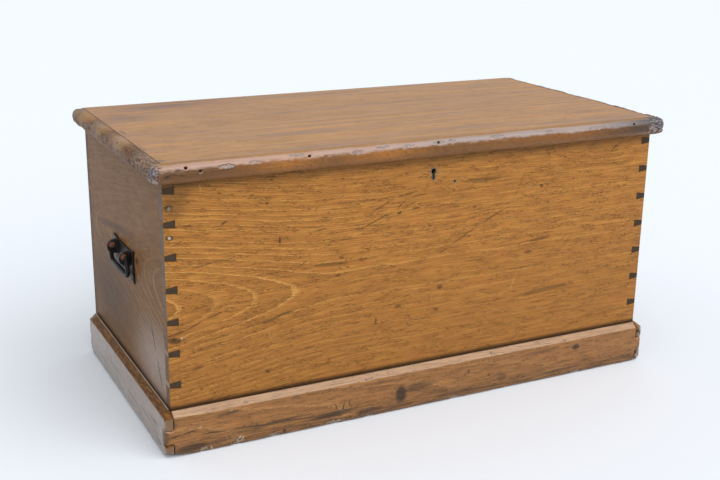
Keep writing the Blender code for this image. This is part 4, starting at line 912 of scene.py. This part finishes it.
bottomTones = {"axes": "XYZ", "pith": (90, -60), "taper": 0.03, "ring": 9.0, "early": "#b39a78",
               "warm": "#a58b68", "late": "#c2aa86", "shade": "#8a7051", "dash": "#6b553c", "end": "#7b654a",
               "endPale": "#8d7758", "dashes": 0.4, "rough": 0.6}


def dressBottom(look):
    material, tree = startMaterial("bare_sawn_pine")
    closePine(tree, growPine(tree, look))
    wear(["bottom_board_1", "bottom_board_2", "bottom_board_3"], material)


dressBottom(bottomTones)
print("bottom: bare boards")


# Metals. Forged iron keeps a black scaly skin, rubbed grey and rusted in patches; the lock's sheet steel is
# brushed along X and oiled dull; brass is brown with age and bright where it is touched.

metals = {
    "iron": {"name": "blackened_forged_iron", "skin": "#100e0d", "worn": "#2a2523", "rust": "#33241d",
             "grain": (2.4, 2.4, 2.4), "rough": 0.34, "metallic": 0.2, "gloss": 0.15},
    "steel": {"name": "oiled_sheet_steel", "skin": "#59544e", "worn": "#7d766d", "rust": "#50392a",
              "grain": (9, 0.8, 0.8), "rough": 0.4, "metallic": 1.0, "gloss": 0.5},
    "brass": {"name": "tarnished_brass", "skin": "#66532e", "worn": "#a28a52", "rust": "#3a2f1d",
              "grain": (1.6, 1.6, 1.6), "rough": 0.36, "metallic": 1.0, "gloss": 0.5},
    "liner": {"name": "greyed_brass", "skin": "#6b6251", "worn": "#958a77", "rust": "#463e31",
              "grain": (1.6, 1.6, 1.6), "rough": 0.45, "metallic": 0.1, "gloss": 0.5},
}
earRub = {"tone": "#8d6149", "radius": 8,     # rust and rubbed metal inside the ears of the handle plates
          "spots": [(x, y, 285) for x in (-489, 489) for y in (-40.25, 36.75)]}


def makeMetal(look):
    material, tree = startMaterial(look["name"])
    mm = inMillimetres(tree, addNode(tree, "TexCoord").outputs["Object"])
    skin = clouds(tree, mm, tuple(4 * cell for cell in look["grain"]), 4)
    scale = clouds(tree, mm, look["grain"], 3)
    tone = blend(tree, ease(tree, skin, 0.35, 0.65), linear(look["skin"]), linear(look["worn"]))
    metal = {"tone": tone, "mm": mm}
    veil(tree, metal, ease(tree, scale, 0.55, 0.75, 0.6), look["rust"])
    if look is metals["iron"]:
        dots = [(*spot, earRub["radius"]) for spot in earRub["spots"]]
        dotWood(tree, metal, dots, earRub["tone"])
    rough = slope(tree, scale, 0, 1, look["rough"] - 0.12, look["rough"] + 0.2)
    closeSurface(tree, metal["tone"], rough, scale, 0.0002, Metallic=look["metallic"],
                 Specular_IOR_Level=look["gloss"])
    return material


forged = {"voxel": 0.9, "smooth": 1, "along": 1, "seat": (0, 1), "keep": -1000, "waves": [(9, 0.3), (3, 0.1)],
          "ends": [], "eroded": [], "pits": []}


def dressMetal():
    finish = {slot: makeMetal(look) for slot, look in metals.items()}
    for slot, material in finish.items():
        wear([name for name in nodes if slotOf[name] == slot], material)
    wear(["keyhole_liner"], finish["liner"])
    for side in ("left", "right"):
        wornCopy(f"handle_{side}_bail", f"{side}_bail", forged, finish["iron"])
        wornCopy(f"handle_{side}_plate", "case", forged, finish["iron"])


dressMetal()
print("metal: handles forged, hinges and lock dressed")


# Nail heads in the front's left edge: two filled with putty, one green brass pin

nails = {
    # x, z and radius in mm
    "heads": [(-466, 371, 3.0, "putty"), (-452, 201.5, 2.2, "putty"), (-465, 418, 3.0, "pin")],
    "rings": ((1.0, -0.4), (0.92, 0.1), (0.6, 0.3), (0.25, 0.36)),     # share of the radius, height in mm
    "sides": 18,
    "tones": {"putty": ("#7d7160", "#bfb5a2"), "pin": ("#47463a", "#86846f")},
}


def driveNails(look):
    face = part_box("front_panel")[0].y
    finish = {}
    for kind, tones in look["tones"].items():
        material, tree = startMaterial("old_" + kind)
        mm = inMillimetres(tree, addNode(tree, "TexCoord").outputs["Object"])
        grit = clouds(tree, mm, (1.4, 1.4, 1.4), 3)
        tone = blend(tree, ease(tree, grit, 0.35, 0.65), *map(linear, tones))
        closeSurface(tree, tone, 0.6, grit, 0.0002)
        finish[kind] = material
    for index, (x, z, radius, kind) in enumerate(look["heads"], 1):
        shape = bmesh.new()
        rings = []
        for share, lift in look["rings"]:
            ring = []
            for step in range(look["sides"]):
                turn = 2 * math.pi * step / look["sides"]
                out = radius * share * (1 + 0.3 * noise.noise((x + math.cos(turn), z + math.sin(turn), 0)))
                place = (x + out * math.cos(turn), 1000 * face - lift, z + out * math.sin(turn))
                ring.append(shape.verts.new(Vector(place) / 1000))
            rings.append(ring)
        for outer, inner in zip(rings, rings[1:]):
            for step in range(look["sides"]):
                after = (step + 1) % look["sides"]
                shape.faces.new((outer[step], outer[after], inner[after], inner[step]))
        shape.faces.new(rings[0])
        shape.faces.new(rings[-1])
        bmesh.ops.recalc_face_normals(shape, faces=shape.faces[:])
        mesh = bpy.data.meshes.new(f"front_nail_{index}")
        shape.to_mesh(mesh)
        shape.free()
        mesh.materials.append(finish[kind])
        head = bpy.data.objects.new(f"front_nail_{index}", mesh)
        scene.collection.objects.link(head)
        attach(head, "case")


driveNails(nails)
print("nails:", len(nails["heads"]), "heads")


# Softened arrises

arris = {"panel": 0.8, "lid_board": 0.3, "bottom_board": 0.6, "hinge": 0.25, "lock": 0.25, "link": 0.25,
         "liner": 0.2}                        # mm


def soften(name, width):
    node = nodes[name]
    weld(node)
    flat = node.modifiers.new("flat", "DECIMATE")
    flat.decimate_type = "DISSOLVE"
    flat.angle_limit = math.radians(1)
    edge = node.modifiers.new("arris", "BEVEL")
    edge.width = width / 1000
    edge.segments = 2
    edge.limit_method = "ANGLE"
    edge.angle_limit = math.radians(30)
    node.modifiers.new("shade", "WEIGHTED_NORMAL").keep_sharp = False


for name in nodes:
    for word, width in arris.items():
        if word in name and "screw" not in name:
            soften(name, width)
            break
print("edges: arrises softened")
